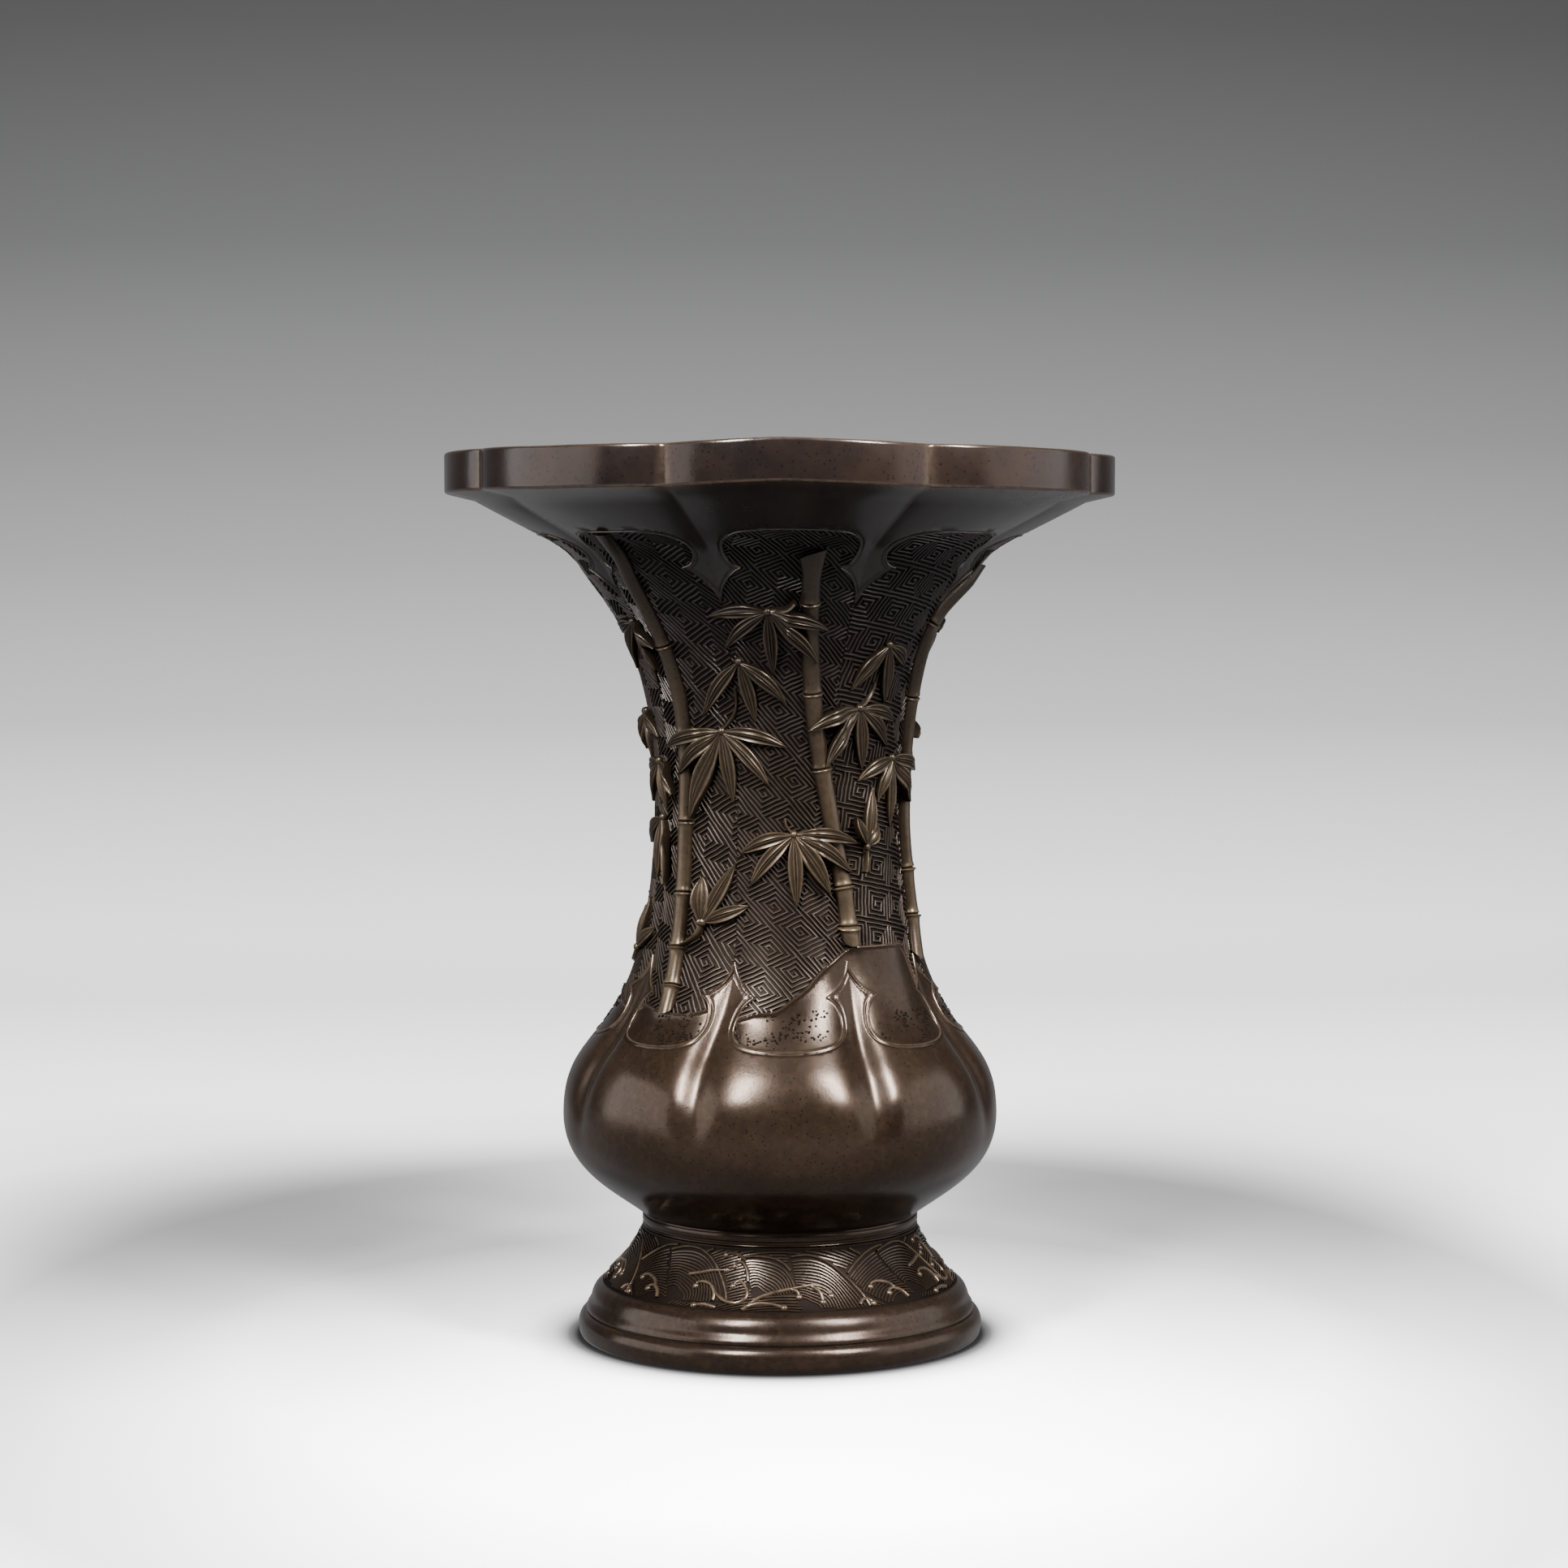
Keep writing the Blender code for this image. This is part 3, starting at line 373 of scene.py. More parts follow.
def smooth_share(value, low, high):
    """Share that runs smoothly from 0 at low to 1 at high."""
    share = np.clip((value - low) / (high - low), 0.0, 1.0)
    return share * share * (3 - 2 * share)


# The body's closed profile, from the throat up the outer side and down the inner one
def body_loop():
    rim_bottom = BODY_HEIGHT - RIM_BAND
    outer = body_curves(16, 64, 90, 34)[::-1]
    rim_inner = RIM_RADIUS - RIM_WALL
    rim = rounded((RIM_RADIUS, rim_bottom), outer[-1], (RIM_RADIUS, BODY_HEIGHT), 0.9)
    rim += rounded((RIM_RADIUS, BODY_HEIGHT), (RIM_RADIUS, rim_bottom), (rim_inner, BODY_HEIGHT), 1.1)
    rim += rounded((rim_inner, BODY_HEIGHT), (RIM_RADIUS, BODY_HEIGHT), (rim_inner, rim_bottom), 0.9)
    inner = inset(body_curves(5, 12, 14, 8), BODY_WALL)
    inner = [point for point in inner if point[0] > SPIGOT_BORE or point[1] > SHOULDER_HEIGHT]
    bottom = [(SPIGOT_BORE, inner[-1][1] - BODY_WALL), (SPIGOT_BORE, -SPIGOT_LENGTH),
              (SPIGOT_RADIUS, -SPIGOT_LENGTH), (SPIGOT_RADIUS, 0.0), (46.8, 0.0), (46.95, 0.3), (46.8, 0.6),
              (46.4, 0.8), (46.4, 1.3), (46.8, 1.5), (47.0, 1.9), (47.0, 3.3), (46.85, 3.7), (46.35, 3.8),
              (46.35, 4.05), (46.65, 4.2)]
    return outer + rim + [(rim_inner, rim_bottom + RIM_WALL)] + inner + bottom + [outer[0]]


def foot_loop():
    """Closed profile of the foot, from the top of its waist, down inside and up outside."""
    ledge_top, ledge_bottom, bore = 29.9, 27.7, 43.6
    outer = bezier((66.6, 0.0), (68.2, 0.0), (68.8, 1.8), (68.8, 4.4), 6)
    outer += bezier((68.8, 4.4), (68.8, 6.7), (67.7, 8.6), (66.0, 8.75), 8)
    outer += [(65.75, 8.75), (65.75, 9.15)]
    outer += bezier((66.2, 9.35), (66.1, 11.0), (64.9, 11.6), (64.5, 13.2), 8)
    outer += bezier((64.5, 13.2), (64.1, 15.0), (63.5, 17.0), (61.2, 18.2), 9)
    outer += bezier((61.2, 18.2), (60.9, 18.4), (60.6, 18.5), (60.3, 18.5), 2)
    outer += bezier((60.3, 18.8), (57.7, 20.1), (47.0, 32.3), (47.0, 37.5), 30)
    inner = [(47.0, FOOT_HEIGHT), (bore, FOOT_HEIGHT), (bore, ledge_top), (bore - 4.0, ledge_top),
             (bore - 4.0, ledge_bottom), (bore, ledge_bottom), (47.0, 22.7), (57.1, 14.0),
             (61.6, 9.4), (61.6, 0.0)]
    return outer + inner + [outer[0]]


BODY = Skin(body_loop(), SEAT, True)
FOOT = Skin(foot_loop(), 0.0, False)


def panel_lines():
    """Lower and upper outline of half a lobe's carved ground, as (across, arc) in mm."""
    lines = []
    for edge in (LOWER_EDGE, UPPER_EDGE):
        pieces = []
        for piece in edge:
            angles, heights = np.array(piece).T
            arcs = BODY.arc_at(heights)
            corners = np.stack([np.radians(angles) * BODY.radius(arcs), arcs], axis=1)
            pieces.append(smooth_line(corners, 0.9))
        lines.append(pieces)
    return lines


def bank_line(name):
    angles, heights = np.array(BANKS[name], dtype=float).T
    arcs = BODY.arc_at(heights)
    middle = (angles[0] + angles[-1]) / 2
    across = np.radians(angles - middle) * BODY.radius(arcs)
    return middle, smooth_line(np.stack([across, arcs], axis=1), 1.2)


PANEL_LINES = panel_lines()
LOWER_LINE, UPPER_LINE = [np.concatenate([pieces[0], pieces[1][1:]]) for pieces in PANEL_LINES]
BANK_LINES = {name: bank_line(name) for name in BANKS}


def ground_depth_at(angle, arc):
    """Distance in mm to the carved ground's outline, above zero inside it."""
    across = np.radians(np.abs(folded(angle, BODY.height_at(arc)))) * BODY.radius(arc)
    far = 40.0
    outline = np.concatenate([LOWER_LINE[::-1], [[far, LOWER_LINE[0][1]], [far, UPPER_LINE[0][1]]],
                              UPPER_LINE, [[-far, UPPER_LINE[-1][1]], [-far, LOWER_LINE[-1][1]]]])
    distance = np.minimum(line_distance(LOWER_LINE, across, arc), line_distance(UPPER_LINE, across, arc))
    return np.where(inside(outline, across, arc), distance, -distance)


def bank_depth_at(angle, arc):
    """Distance in mm to the nearest bank's top line, above zero inside the bank."""
    best = np.full(np.shape(angle), -1e9)
    low = BODY.arc_at(CARVING_LOW)
    for middle, line in BANK_LINES.values():
        turn = (angle - middle + 180) % 360 - 180
        across = np.radians(turn) * BODY.radius(arc)
        distance = line_distance(line, across, arc)
        outline = np.concatenate([line, [[line[-1][0], low], [line[0][0], low]]])
        best = np.maximum(best, np.where(inside(outline, across, arc), distance, -distance))
    return best


def body_relief(angle, arc):
    """Lift of the body's surface by its carving, in mm, and its wear and shading: rubbed on the banks' lips,
    darker in the sunk ground and its groove, partly patina and partly painted shade.
    """
    top = BODY.arc_at(SEAT + BODY_HEIGHT - RIM_BAND)
    lift = np.zeros(np.shape(angle))
    wear_and_shading = np.zeros(np.shape(angle))
    part = (arc > BODY.arc_at(CARVING_LOW)) & (arc < min(top, BODY.arc_at(CARVING_HIGH)))
    ground = ground_depth_at(angle[part], arc[part])
    bank = bank_depth_at(angle[part], arc[part])
    sunk = smooth_share(ground, -0.1, 0.45)
    raised = smooth_share(bank, -0.25, 0.3)
    depth = GROUND_DEPTH + (BANK_DEPTH - GROUND_DEPTH) * raised
    groove = 0.28 * np.exp(-((ground + 1.15) / 0.32) ** 2)
    lip = 0.75 * np.exp(-((bank - 0.55) / 0.5) ** 2) * smooth_share(ground, 0.0, 0.6)
    lift[part] = -depth * sunk - groove + lip
    # Rubbed lips on the banks; darker sunk ground and groove, partly patina and partly painted shade.
    wear_and_shading[part] = np.where(raised > 0.5, 1.3 * lip - 0.25 * sunk, -0.9 * sunk * (1 - raised)) - 2.0 * groove
    return lift, wear_and_shading


def tube(stations, columns):
    """Straight closed tube of radius 1 with a ring of vertices at each station."""
    work = bmesh.new()
    chain = [work.verts.new((0.0, -1.0, station)) for station in stations]
    links = [work.edges.new(pair) for pair in zip(chain, chain[1:])]
    bmesh.ops.spin(work, geom=chain + links, axis=(0, 0, 1), cent=(0, 0, 0), dvec=(0, 0, 0),
                   angle=math.tau, steps=columns, use_merge=True)
    return work


def tube_places(points):
    """Angle and arc of points on a straight tube, drawn together towards the lobes' ends."""
    points = np.array(points)
    angle = np.degrees(np.arctan2(points[:, 0], -points[:, 1]))
    return angle + COLUMN_PULL * np.sin(np.radians(LOBES * angle)), points[:, 2]


def leaning_places(points):
    """Angle and arc on the body of points on a straight tube."""
    angle, arc = tube_places(points)
    height = BODY.height_at(arc)
    outer = arc < BODY.arcs[int(np.argmax(BODY.heights))]
    return angle + np.where(outer, lean(angle, height), 0.0), arc


def refine(work, closeness, reaches):
    """Halves the faces that lie close to a line, once for each reach."""
    for reach in reaches:
        centres = [face.calc_center_median() for face in work.faces]
        near = closeness(*leaning_places(centres)) < reach
        edges = {edge for face, chosen in zip(work.faces, near) if chosen for edge in face.edges}
        bmesh.ops.subdivide_edges(work, edges=list(edges), cuts=1, use_grid_fill=True)


def set_places(work, places):
    for vertex, place in zip(work.verts, places * MILLIMETRE):
        vertex.co = place


def set_wear_and_shading(work, wear_and_shading):
    layer = work.verts.layers.float.get("wear_and_shading") or work.verts.layers.float.new("wear_and_shading")
    for vertex, value in zip(work.verts, wear_and_shading):
        vertex[layer] = value


def finish_piece(name, work, material, node=None, sharp=40):
    """Makes a piece of the vase from a finished bmesh."""
    bmesh.ops.remove_doubles(work, verts=work.verts, dist=0.000002)
    bmesh.ops.recalc_face_normals(work, faces=work.faces)
    mesh = bpy.data.meshes.new(name)
    work.to_mesh(mesh)
    work.free()
    mesh.materials.append(material)
    mesh.shade_smooth()
    mesh.set_sharp_from_angle(angle=math.radians(sharp))
    piece = bpy.data.objects.new(name, mesh)
    bpy.context.scene.collection.objects.link(piece)
    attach(piece, "root")
    if node:
        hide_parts(node)
    return piece


def loft(rings, wear_and_shading):
    """Closed bar or leaf over rings of points, capped at both ends."""
    stations, corners = rings.shape[:2]
    work = bmesh.new()
    bmesh.ops.create_grid(work, x_segments=stations - 1, y_segments=corners, size=0.5)
    layer = work.verts.layers.float.new("wear_and_shading")
    for vertex in work.verts:
        row = round((vertex.co.x + 0.5) * (stations - 1))
        corner = round((vertex.co.y + 0.5) * corners) % corners
        vertex.co = rings[row, corner]
        vertex[layer] = wear_and_shading[row, corner]
    bmesh.ops.remove_doubles(work, verts=work.verts, dist=0.0005)
    bmesh.ops.holes_fill(work, edges=[edge for edge in work.edges if edge.is_boundary], sides=0)
    return work


def bar(path, section, wear_and_shading, taper=None):
    """Closed bar along a flat path. The section is (across, lift) corners round the bar."""
    path = np.array(path, dtype=float)
    steps = np.diff(path, axis=0)
    steps /= np.hypot(*steps.T)[:, None]
    before = np.vstack([steps[:1], steps])
    after = np.vstack([steps, steps[-1:]])
    middle = before + after
    middle /= np.hypot(*middle.T)[:, None]
    spread = 1.0 / np.maximum(0.5, (middle * before).sum(axis=1))
    side = np.stack([middle[:, 1], -middle[:, 0]], axis=1) * spread[:, None]
    section = np.array(section, dtype=float)
    width = np.ones(len(path)) if taper is None else np.array(taper)
    across = section[None, :, 0] * width[:, None]
    flat = path[:, None, :] + side[:, None, :] * across[:, :, None]
    lift = section[None, :, 1] * np.where(section[None, :, 1] > 0, width[:, None], 1.0)
    rings = np.concatenate([flat, lift[:, :, None]], axis=2)
    return loft(rings, np.tile(np.array(wear_and_shading, dtype=float), (len(path), 1)))


def gather(parts):
    """One bmesh from several, which are freed."""
    whole = bmesh.new()
    whole.verts.layers.float.new("wear_and_shading")
    for part in parts:
        mesh = bpy.data.meshes.new("part")
        part.to_mesh(mesh)
        part.free()
        whole.from_mesh(mesh)
        bpy.data.meshes.remove(mesh)
    return whole


def pellet(radius, detail, wear_and_shading, squash=(1.0, 1.0, 1.0)):
    """Small ball with one value of wear and shading all over, squashed along each axis."""
    ball = bmesh.new()
    layer = ball.verts.layers.float.new("wear_and_shading")
    bmesh.ops.create_icosphere(ball, subdivisions=detail, radius=radius,
                               matrix=Matrix.Diagonal((*squash, 1.0)))
    for vertex in ball.verts:
        vertex[layer] = wear_and_shading
    return ball


def flat_places(work):
    return np.array([vertex.co for vertex in work.verts])


def round_section(width, bottom, top, corners=7):
    """Section of a rounded bar: half a round on top, flat below."""
    turns = np.linspace(0.0, math.pi, corners)
    return [(width / 2 * math.cos(turn), bottom + (top - bottom) * math.sin(turn)) for turn in turns]


def make_body(material):
    arcs = BODY.arcs
    outer_end = int(np.argmax(BODY.radii >= RIM_RADIUS - 0.001))
    stations = [0.0]
    for arc in arcs[1:-1]:
        in_carving = 90.0 < BODY.height_at(arc) < 280.0 and arc < arcs[outer_end]
        if arc - stations[-1] > (1.35 if in_carving else 0.5) or arc > arcs[outer_end] - 2:
            stations.append(float(arc))
    stations.append(float(arcs[-1]))
    work = tube(stations, 240)
    start, end = BODY.arc_at(97.0), BODY.arc_at(278.0)

    def closeness(angle, arc):
        near = np.full(len(arc), 99.0)
        part = (arc > start) & (arc < end)
        ground = ground_depth_at(angle[part], arc[part])
        bank = np.abs(bank_depth_at(angle[part], arc[part]))
        near[part] = np.minimum(np.abs(ground + 0.4), np.where(ground > 0, bank, 99.0))
        return near

    refine(work, closeness, (2.2, 1.5))
    angle, arc = leaning_places([vertex.co for vertex in work.verts])
    lift, wear_and_shading = body_relief(angle, arc)
    height = BODY.height_at(arc)
    # Rim's edges and cusps lighter: partly rubbed wear, partly painted highlight.
    rim_edge = np.minimum(np.abs(height - SEAT - BODY_HEIGHT), np.abs(height - SEAT - BODY_HEIGHT + RIM_BAND))
    cusp = np.exp(-((LOBE_STEP / 2 - np.abs(folded(angle, height))) / 1.2) ** 2)
    on_rim = (BODY.radius(arc) > RIM_RADIUS - 1.4) & (height > 285.5)
    wear_and_shading += on_rim * (1.1 * np.exp(-(rim_edge / 0.7) ** 2) + 0.6 * cusp)
    set_places(work, BODY.place(angle, arc, lift))
    set_wear_and_shading(work, wear_and_shading)
    return finish_piece("vase_casting", work, material, "vase_body", 50)


def make_beads(material):
    """Raised lines round the carved ground."""
    section = round_section(BEAD_WIDTH, -1.0, 0.32)
    beads = []
    for lobe in range(LOBES):
        for pieces in PANEL_LINES:
            for piece in pieces:
                for side in (-1, 1):
                    work = bar(piece * (side, 1), section, (0.2, 0.5, 0.8, 0.9, 0.8, 0.5, 0.2))
                    flat = flat_places(work)
                    set_places(work, BODY.place(lobe_angles(flat, lobe), flat[:, 1], flat[:, 2]))
                    beads.append(work)
    return finish_piece("ground_beads", gather(beads), material, "vase_body", 60)


def make_dots(material, chance):
    """Small dots, in clusters, on the banks under the bamboo."""
    dots = []
    for lobe in range(LOBES):
        for _ in range(9):
            middle = lobe * LOBE_STEP + chance.uniform(-12, 12)
            height = chance.uniform(106.0, 115.0)
            for _ in range(11):
                turn = middle + chance.gauss(0.0, 1.5)
                arc = float(BODY.arc_at(height + chance.gauss(0.0, 1.1)))
                angle, place = np.array([turn]), np.array([arc])
                if ground_depth_at(angle, place)[0] < 1.0 or bank_depth_at(angle, place)[0] < 1.3:
                    continue
                dot = pellet(chance.uniform(0.32, 0.55), 1, -2.0)
                set_places(dot, BODY.lay(flat_places(dot) * (1, 1, 0.8) - (0, 0, BANK_DEPTH), turn, arc))
                dots.append(dot)
    return finish_piece("bank_dots", gather(dots), material, "vase_body", 60)


def spiral_path():
    """Square spiral of one fret cell, from its outer corner to its middle, in steps of a ridge."""
    low, high = 0, FRET_TURNS
    path = [(low, low), (high, low), (high, high), (low, high)]
    while high - low > 2:
        low += 1
        path.append((low - 1, low))
        high -= 1
        path += [(high, low), (high, high), (low, high)]
    return np.array(path, dtype=float)


def lobe_angles(flat, lobe):
    """Angles of a flat pattern's points once it lies on a lobe, which leans."""
    turn = lobe * LOBE_STEP + np.degrees(flat[:, 0] / BODY.radius(flat[:, 1]))
    return turn + lean(turn, BODY.height_at(flat[:, 1]))


def sampled(corners, step):
    """Points along a line at about every step, and whether each one is a corner."""
    points, is_corner = [], []
    for start, end in zip(corners, corners[1:]):
        pieces = max(1, math.ceil(math.dist(start, end) / step))
        for piece in range(pieces):
            points.append(start + (end - start) * (piece / pieces))
            is_corner.append(piece == 0)
    return np.array(points + [corners[-1]]), is_corner + [True]


def kept_runs(points, is_corner, room):
    """Stretches of a line that have room, cut where the room ends, with few points."""
    runs, run = [], []
    for index in range(len(points)):
        if index and (room[index] > 0) != (room[index - 1] > 0):
            share = room[index - 1] / (room[index - 1] - room[index])
            edge = points[index - 1] + (points[index] - points[index - 1]) * share
            run.append(edge)
            if room[index] <= 0:
                runs.append(run)
                run = []
        if room[index] > 0:
            ends = is_corner[index] or not run or index == len(points) - 1
            if ends or math.dist(run[-1], points[index]) > 2.2:
                run.append(points[index])
    runs.append(run)
    tidy = []
    for run in runs:
        spaced = [point for index, point in enumerate(run)
                  if index == 0 or math.dist(point, run[index - 1]) > 0.12]
        if len(spaced) > 1:
            tidy.append(spaced)
    return tidy


def fret_room(points, lobe):
    """Room in mm that a ridge has to the outlines, the banks and the next lobe."""
    turn = np.degrees(points[:, 0] / BODY.radius(points[:, 1]))
    place = lobe_angles(points, lobe)
    ground = ground_depth_at(place, points[:, 1])
    bank = bank_depth_at(place, points[:, 1])
    side = np.radians(22.35 - np.abs(turn)) * BODY.radius(points[:, 1])
    return np.minimum(np.minimum(ground + 0.1, 0.45 - bank), side)


def make_fret(lobe, material, chance):
    """Key-fret ridges of one lobe, laid in the ground between its outlines."""
    first, second = [np.array(side) for side in FRET_CELLS[lobe]]
    low, high = BODY.arc_at(101.0), BODY.arc_at(273.0)
    pitch = FRET_TURNS + 1
    if lobe == 0:
        start = np.array(FRONT_FRET_CORNER)
    else:
        start = np.array([chance.uniform(-3, 3), (low + high) / 2 + chance.uniform(-3, 3)])
    spiral = spiral_path()
    ridges = []
    cells = range(-CELLS_EACH_WAY, CELLS_EACH_WAY + 1)
    for i in cells:
        for j in cells:
            corner = start + i * first + j * second
            middle = corner + (first + second) / 2
            if not low - 9 < middle[1] < high + 9:
                continue
            if abs(middle[0]) > math.radians(LOBE_STEP / 2) * BODY.radius(middle[1]) + 9:
                continue
            shape = spiral if (i + j) % 2 else FRET_TURNS - spiral
            shapes = [shape] + [np.array([(FRET_TURNS - 0.1, row), (pitch + 0.1, row)])
                                for row in (0, FRET_TURNS)]
            for steps in shapes:
                ridges.append(corner + (steps[:, :1] * first + steps[:, 1:] * second) / pitch)
    lines = [sampled(ridge, FRET_STEP) for ridge in ridges]
    for points, _ in lines:
        sway = 0.12 * np.sin(0.9 * points[:, 1] + 0.4 * points[:, 0])
        points[:, 1] += 0.10 * np.sin(1.1 * points[:, 0])
        points[:, 0] += sway
    room = fret_room(np.concatenate([points for points, _ in lines]), lobe)
    bars = []
    used = 0
    for points, is_corner in lines:
        for run in kept_runs(points, is_corner, room[used:used + len(points)]):
            bars.append(bar(run, FRET_SECTION, FRET_WEAR_AND_SHADING))
        used += len(points)
    work = gather(bars)
    flat = flat_places(work)
    rough = 0.05 * np.sin(1.3 * flat[:, 0] + 0.7 * flat[:, 1]) + 0.04 * np.sin(2.9 * flat[:, 1])
    lift = -GROUND_DEPTH - 0.1 + flat[:, 2] * (GROUND_DEPTH + 0.1 - FRET_DEPTH + rough)
    set_places(work, BODY.place(lobe_angles(flat, lobe), flat[:, 1], lift))
    return finish_piece(f"key_fret_{lobe + 1}", work, material, "vase_body", 40)


class Route:
    """Line over the body that a cane follows."""

    def __init__(self, places):
        angles, heights = smooth_line(places, 2.0).T
        self.angles = angles
        self.arcs = BODY.arc_at(heights + SEAT)
        self.line = BODY.place(self.angles, self.arcs, np.zeros(len(angles)))
        steps = np.linalg.norm(np.diff(self.line, axis=0), axis=1)
        self.lengths = np.concatenate([[0.0], np.cumsum(steps)])
        self.heights = heights

    def at(self, length):
        return np.interp(length, self.lengths, self.angles), np.interp(length, self.lengths, self.arcs)

    def bend(self, across, along, lift):
        """Places of points of a straight cane once it lies on the vase, also past its ends."""
        angle, arc = self.at(along)
        past = along - np.clip(along, 0.0, self.lengths[-1])
        near = np.clip(along, 1.0, self.lengths[-1] - 1.0)
        before, after = self.at(near - 1.0), self.at(near + 1.0)
        rise = after[1] - before[1]
        turn = np.radians(after[0] - before[0]) * BODY.pressed_radius(angle, arc)
        run = np.hypot(rise, turn)
        side = (across * rise + past * turn) / run
        up = (past * rise - across * turn) / run
        return BODY.place(angle + np.degrees(side / BODY.pressed_radius(angle, arc)), arc + up, lift)


ROUTES = {name: Route(places) for name, (places, nodes) in CANES.items()}
ROUTE_POINTS = np.concatenate([
    np.stack([np.interp(np.arange(0.0, route.lengths[-1], 0.8), route.lengths, route.line[:, axis])
              for axis in range(3)], axis=1) for route in ROUTES.values()])


def over_canes(places):
    """Extra lift in mm that carries a leaf over a cane."""
    gaps = np.array([np.min(np.linalg.norm(ROUTE_POINTS - place, axis=1)) for place in places])
    share = np.clip(1.0 - (gaps - CANE_TIP_WIDTH / 2 - 3.4) / 5.6, 0.0, 1.0)
    return (CANE_RELIEF + 0.5) * share * share * (3 - 2 * share)


def make_cane(name, material):
    """Bamboo cane with a ring and a groove at each node."""
    route = ROUTES[name]
    marks = [float(np.interp(height, route.heights, route.lengths)) for height in CANES[name][1]]
    length = float(route.lengths[-1])
    stations = set(np.linspace(0.0, length, round(length / 2.2) + 1))
    for mark in marks:
        stations = {along for along in stations if abs(along - mark) > 2.4}
        stations |= {mark + offset for offset in (-2.2, -1.5, -1.05, -0.8, -0.55, -0.35, -0.18, 0.0, 0.18,
                                                  0.35, 0.5, 0.65, 0.85, 1.15, 1.6, 2.3)}
    alongs = np.array(sorted(along for along in stations if 0.0 <= along <= length))
    width = CANE_WIDTH + (CANE_TIP_WIDTH - CANE_WIDTH) * alongs / length
    if name == "cane_front":
        width = width + 2.6 * smooth_share(alongs, length - 9.0, length)
    ring = np.zeros(len(alongs))
    for index, mark in enumerate(marks):
        off = alongs - mark
        bulge = 1.9 if index < 2 else 1.0
        ring += bulge * (0.44 * np.exp(-((off + 0.35) / 0.42) ** 2) + 0.16 * np.exp(-(off / 2.2) ** 2))
        ring += 0.16 * np.exp(-((off - 1.0) / 0.45) ** 2) - 0.62 * np.exp(-((off - 0.32) / 0.24) ** 2)
    turns = np.linspace(-0.12, math.pi + 0.12, 19)
    shape = np.stack([np.cos(turns), np.sin(turns)], axis=1)
    shape = np.vstack([shape, [(-0.98, -0.4), (0.98, -0.4)]])
    flatten = CANE_RELIEF / (CANE_TIP_WIDTH / 2)
    across = np.outer(width / 2 + ring, shape[:, 0])
    lift = np.outer((width / 2 + ring) * flatten, np.maximum(shape[:, 1], 0.0))
    lift += np.minimum(shape[:, 1], 0.0)[None, :] * 3.0
    cut = 0.5 if name == "cane_front" else 0.25
    slant = smooth_share(alongs, length - 5.0, length)[:, None] * across * cut
    lift *= (1.0 - 0.4 * smooth_share(alongs, length - 8.0, length))[:, None]
    overhang = 1.2 * lift * smooth_share(alongs, length - 6.0, length)[:, None]
    overhang -= 1.2 * lift * smooth_share(6.0 - alongs, 0.0, 6.0)[:, None]
    rings = np.stack([across, alongs[:, None] + slant + overhang, lift + SOLDER_FILM / 2], axis=2)
    # Rubbed on the node rings and the crown; darker in the node grooves, partly patina and partly painted
    # shade.
    wear_and_shading = np.tile((0.15 + 1.6 * ring)[:, None], (1, len(shape)))
    wear_and_shading += 0.35 * np.maximum(shape[:, 1], 0.0)[None, :] ** 3
    work = loft(rings, wear_and_shading)
    flat = flat_places(work)
    set_places(work, route.bend(flat[:, 0], flat[:, 1], flat[:, 2]))
    return finish_piece(f"bamboo_{name}", work, material, name, 55)


LEAF_SECTION = np.array([
    (-1.00, 0.45), (-0.95, 0.92), (-0.84, 1.00), (-0.72, 0.86), (-0.52, 0.52), (-0.36, 0.55),
    (-0.24, 0.92), (-0.13, 0.96), (0.00, 0.62), (0.13, 0.96), (0.24, 0.92), (0.36, 0.55),
    (0.52, 0.52), (0.72, 0.86), (0.84, 1.00), (0.95, 0.92), (1.00, 0.45),
])
# Across a leaf: rubbed edges and ribs, darker in the hollows between them, partly patina and partly painted
# shade.
LEAF_WEAR_AND_SHADING = np.array([-0.2, 0.6, 1.0, 0.5, -0.8, -0.7, 0.5, 0.6, -0.6, 0.6, 0.5, -0.7, -0.8, 0.5, 1.0,
                      0.6, -0.2])


def leaf(direction, length, chance):
    """One leaf of a spray, flat, with raised edges and a double rib."""
    direction = math.radians(direction)
    hangs = math.cos(direction) < 0.0
    arch = -0.28 * math.sin(direction) * length if hangs else chance.uniform(-0.05, 0.05) * length
    shares = np.concatenate([np.linspace(0.0, 0.9, 14), [0.95, 0.985, 1.0]])
    start = 0.9
    reach = start + shares * (length + 1.2 - start)
    sideways = arch * shares * (1 - shares)
    half = LEAF_WIDTH / 2 * np.maximum(0.08, np.sin(math.pi * shares ** 0.86) ** 0.8)
    half[0] = 0.5
    half[1] = max(half[1], 0.85)
    forward = np.array([math.sin(direction), math.cos(direction)])
    side = np.array([math.cos(direction), -math.sin(direction)])
    spine = reach[:, None] * forward + sideways[:, None] * side
    top = 1.45 + 0.75 * np.sin(math.pi * np.clip(shares * 1.15, 0, 1)) - 0.75 * shares ** 3
    top = top + chance.uniform(-0.12, 0.25)
    across = half[:, None] * LEAF_SECTION[None, :, 0]
    ribs = np.clip(half / (LEAF_WIDTH / 2), 0.25, 1.0)[:, None]
    lift = top[:, None] - (1 - LEAF_SECTION[None, :, 1]) * 1.25 * ribs
    cup = -0.35 * (LEAF_SECTION[None, :, 0] ** 2)
    upper = np.concatenate([spine[:, None, :] + side * across[:, :, None], (lift + cup)[:, :, None]], axis=2)
    lower = upper[:, [-1, 0], :].copy()
    lower[:, :, 2] = -1.0
    lower[:, :, :2] = spine[:, None, :] + 0.86 * (lower[:, :, :2] - spine[:, None, :])
    # The leaf's underside is dark: painted shade under the leaf.
    wear_and_shading = np.concatenate([np.tile(LEAF_WEAR_AND_SHADING, (len(shares), 1)), np.full((len(shares), 2), -1.0)], axis=1)
    wear_and_shading[0] = 0.2
    return loft(np.concatenate([upper, lower], axis=1), wear_and_shading)


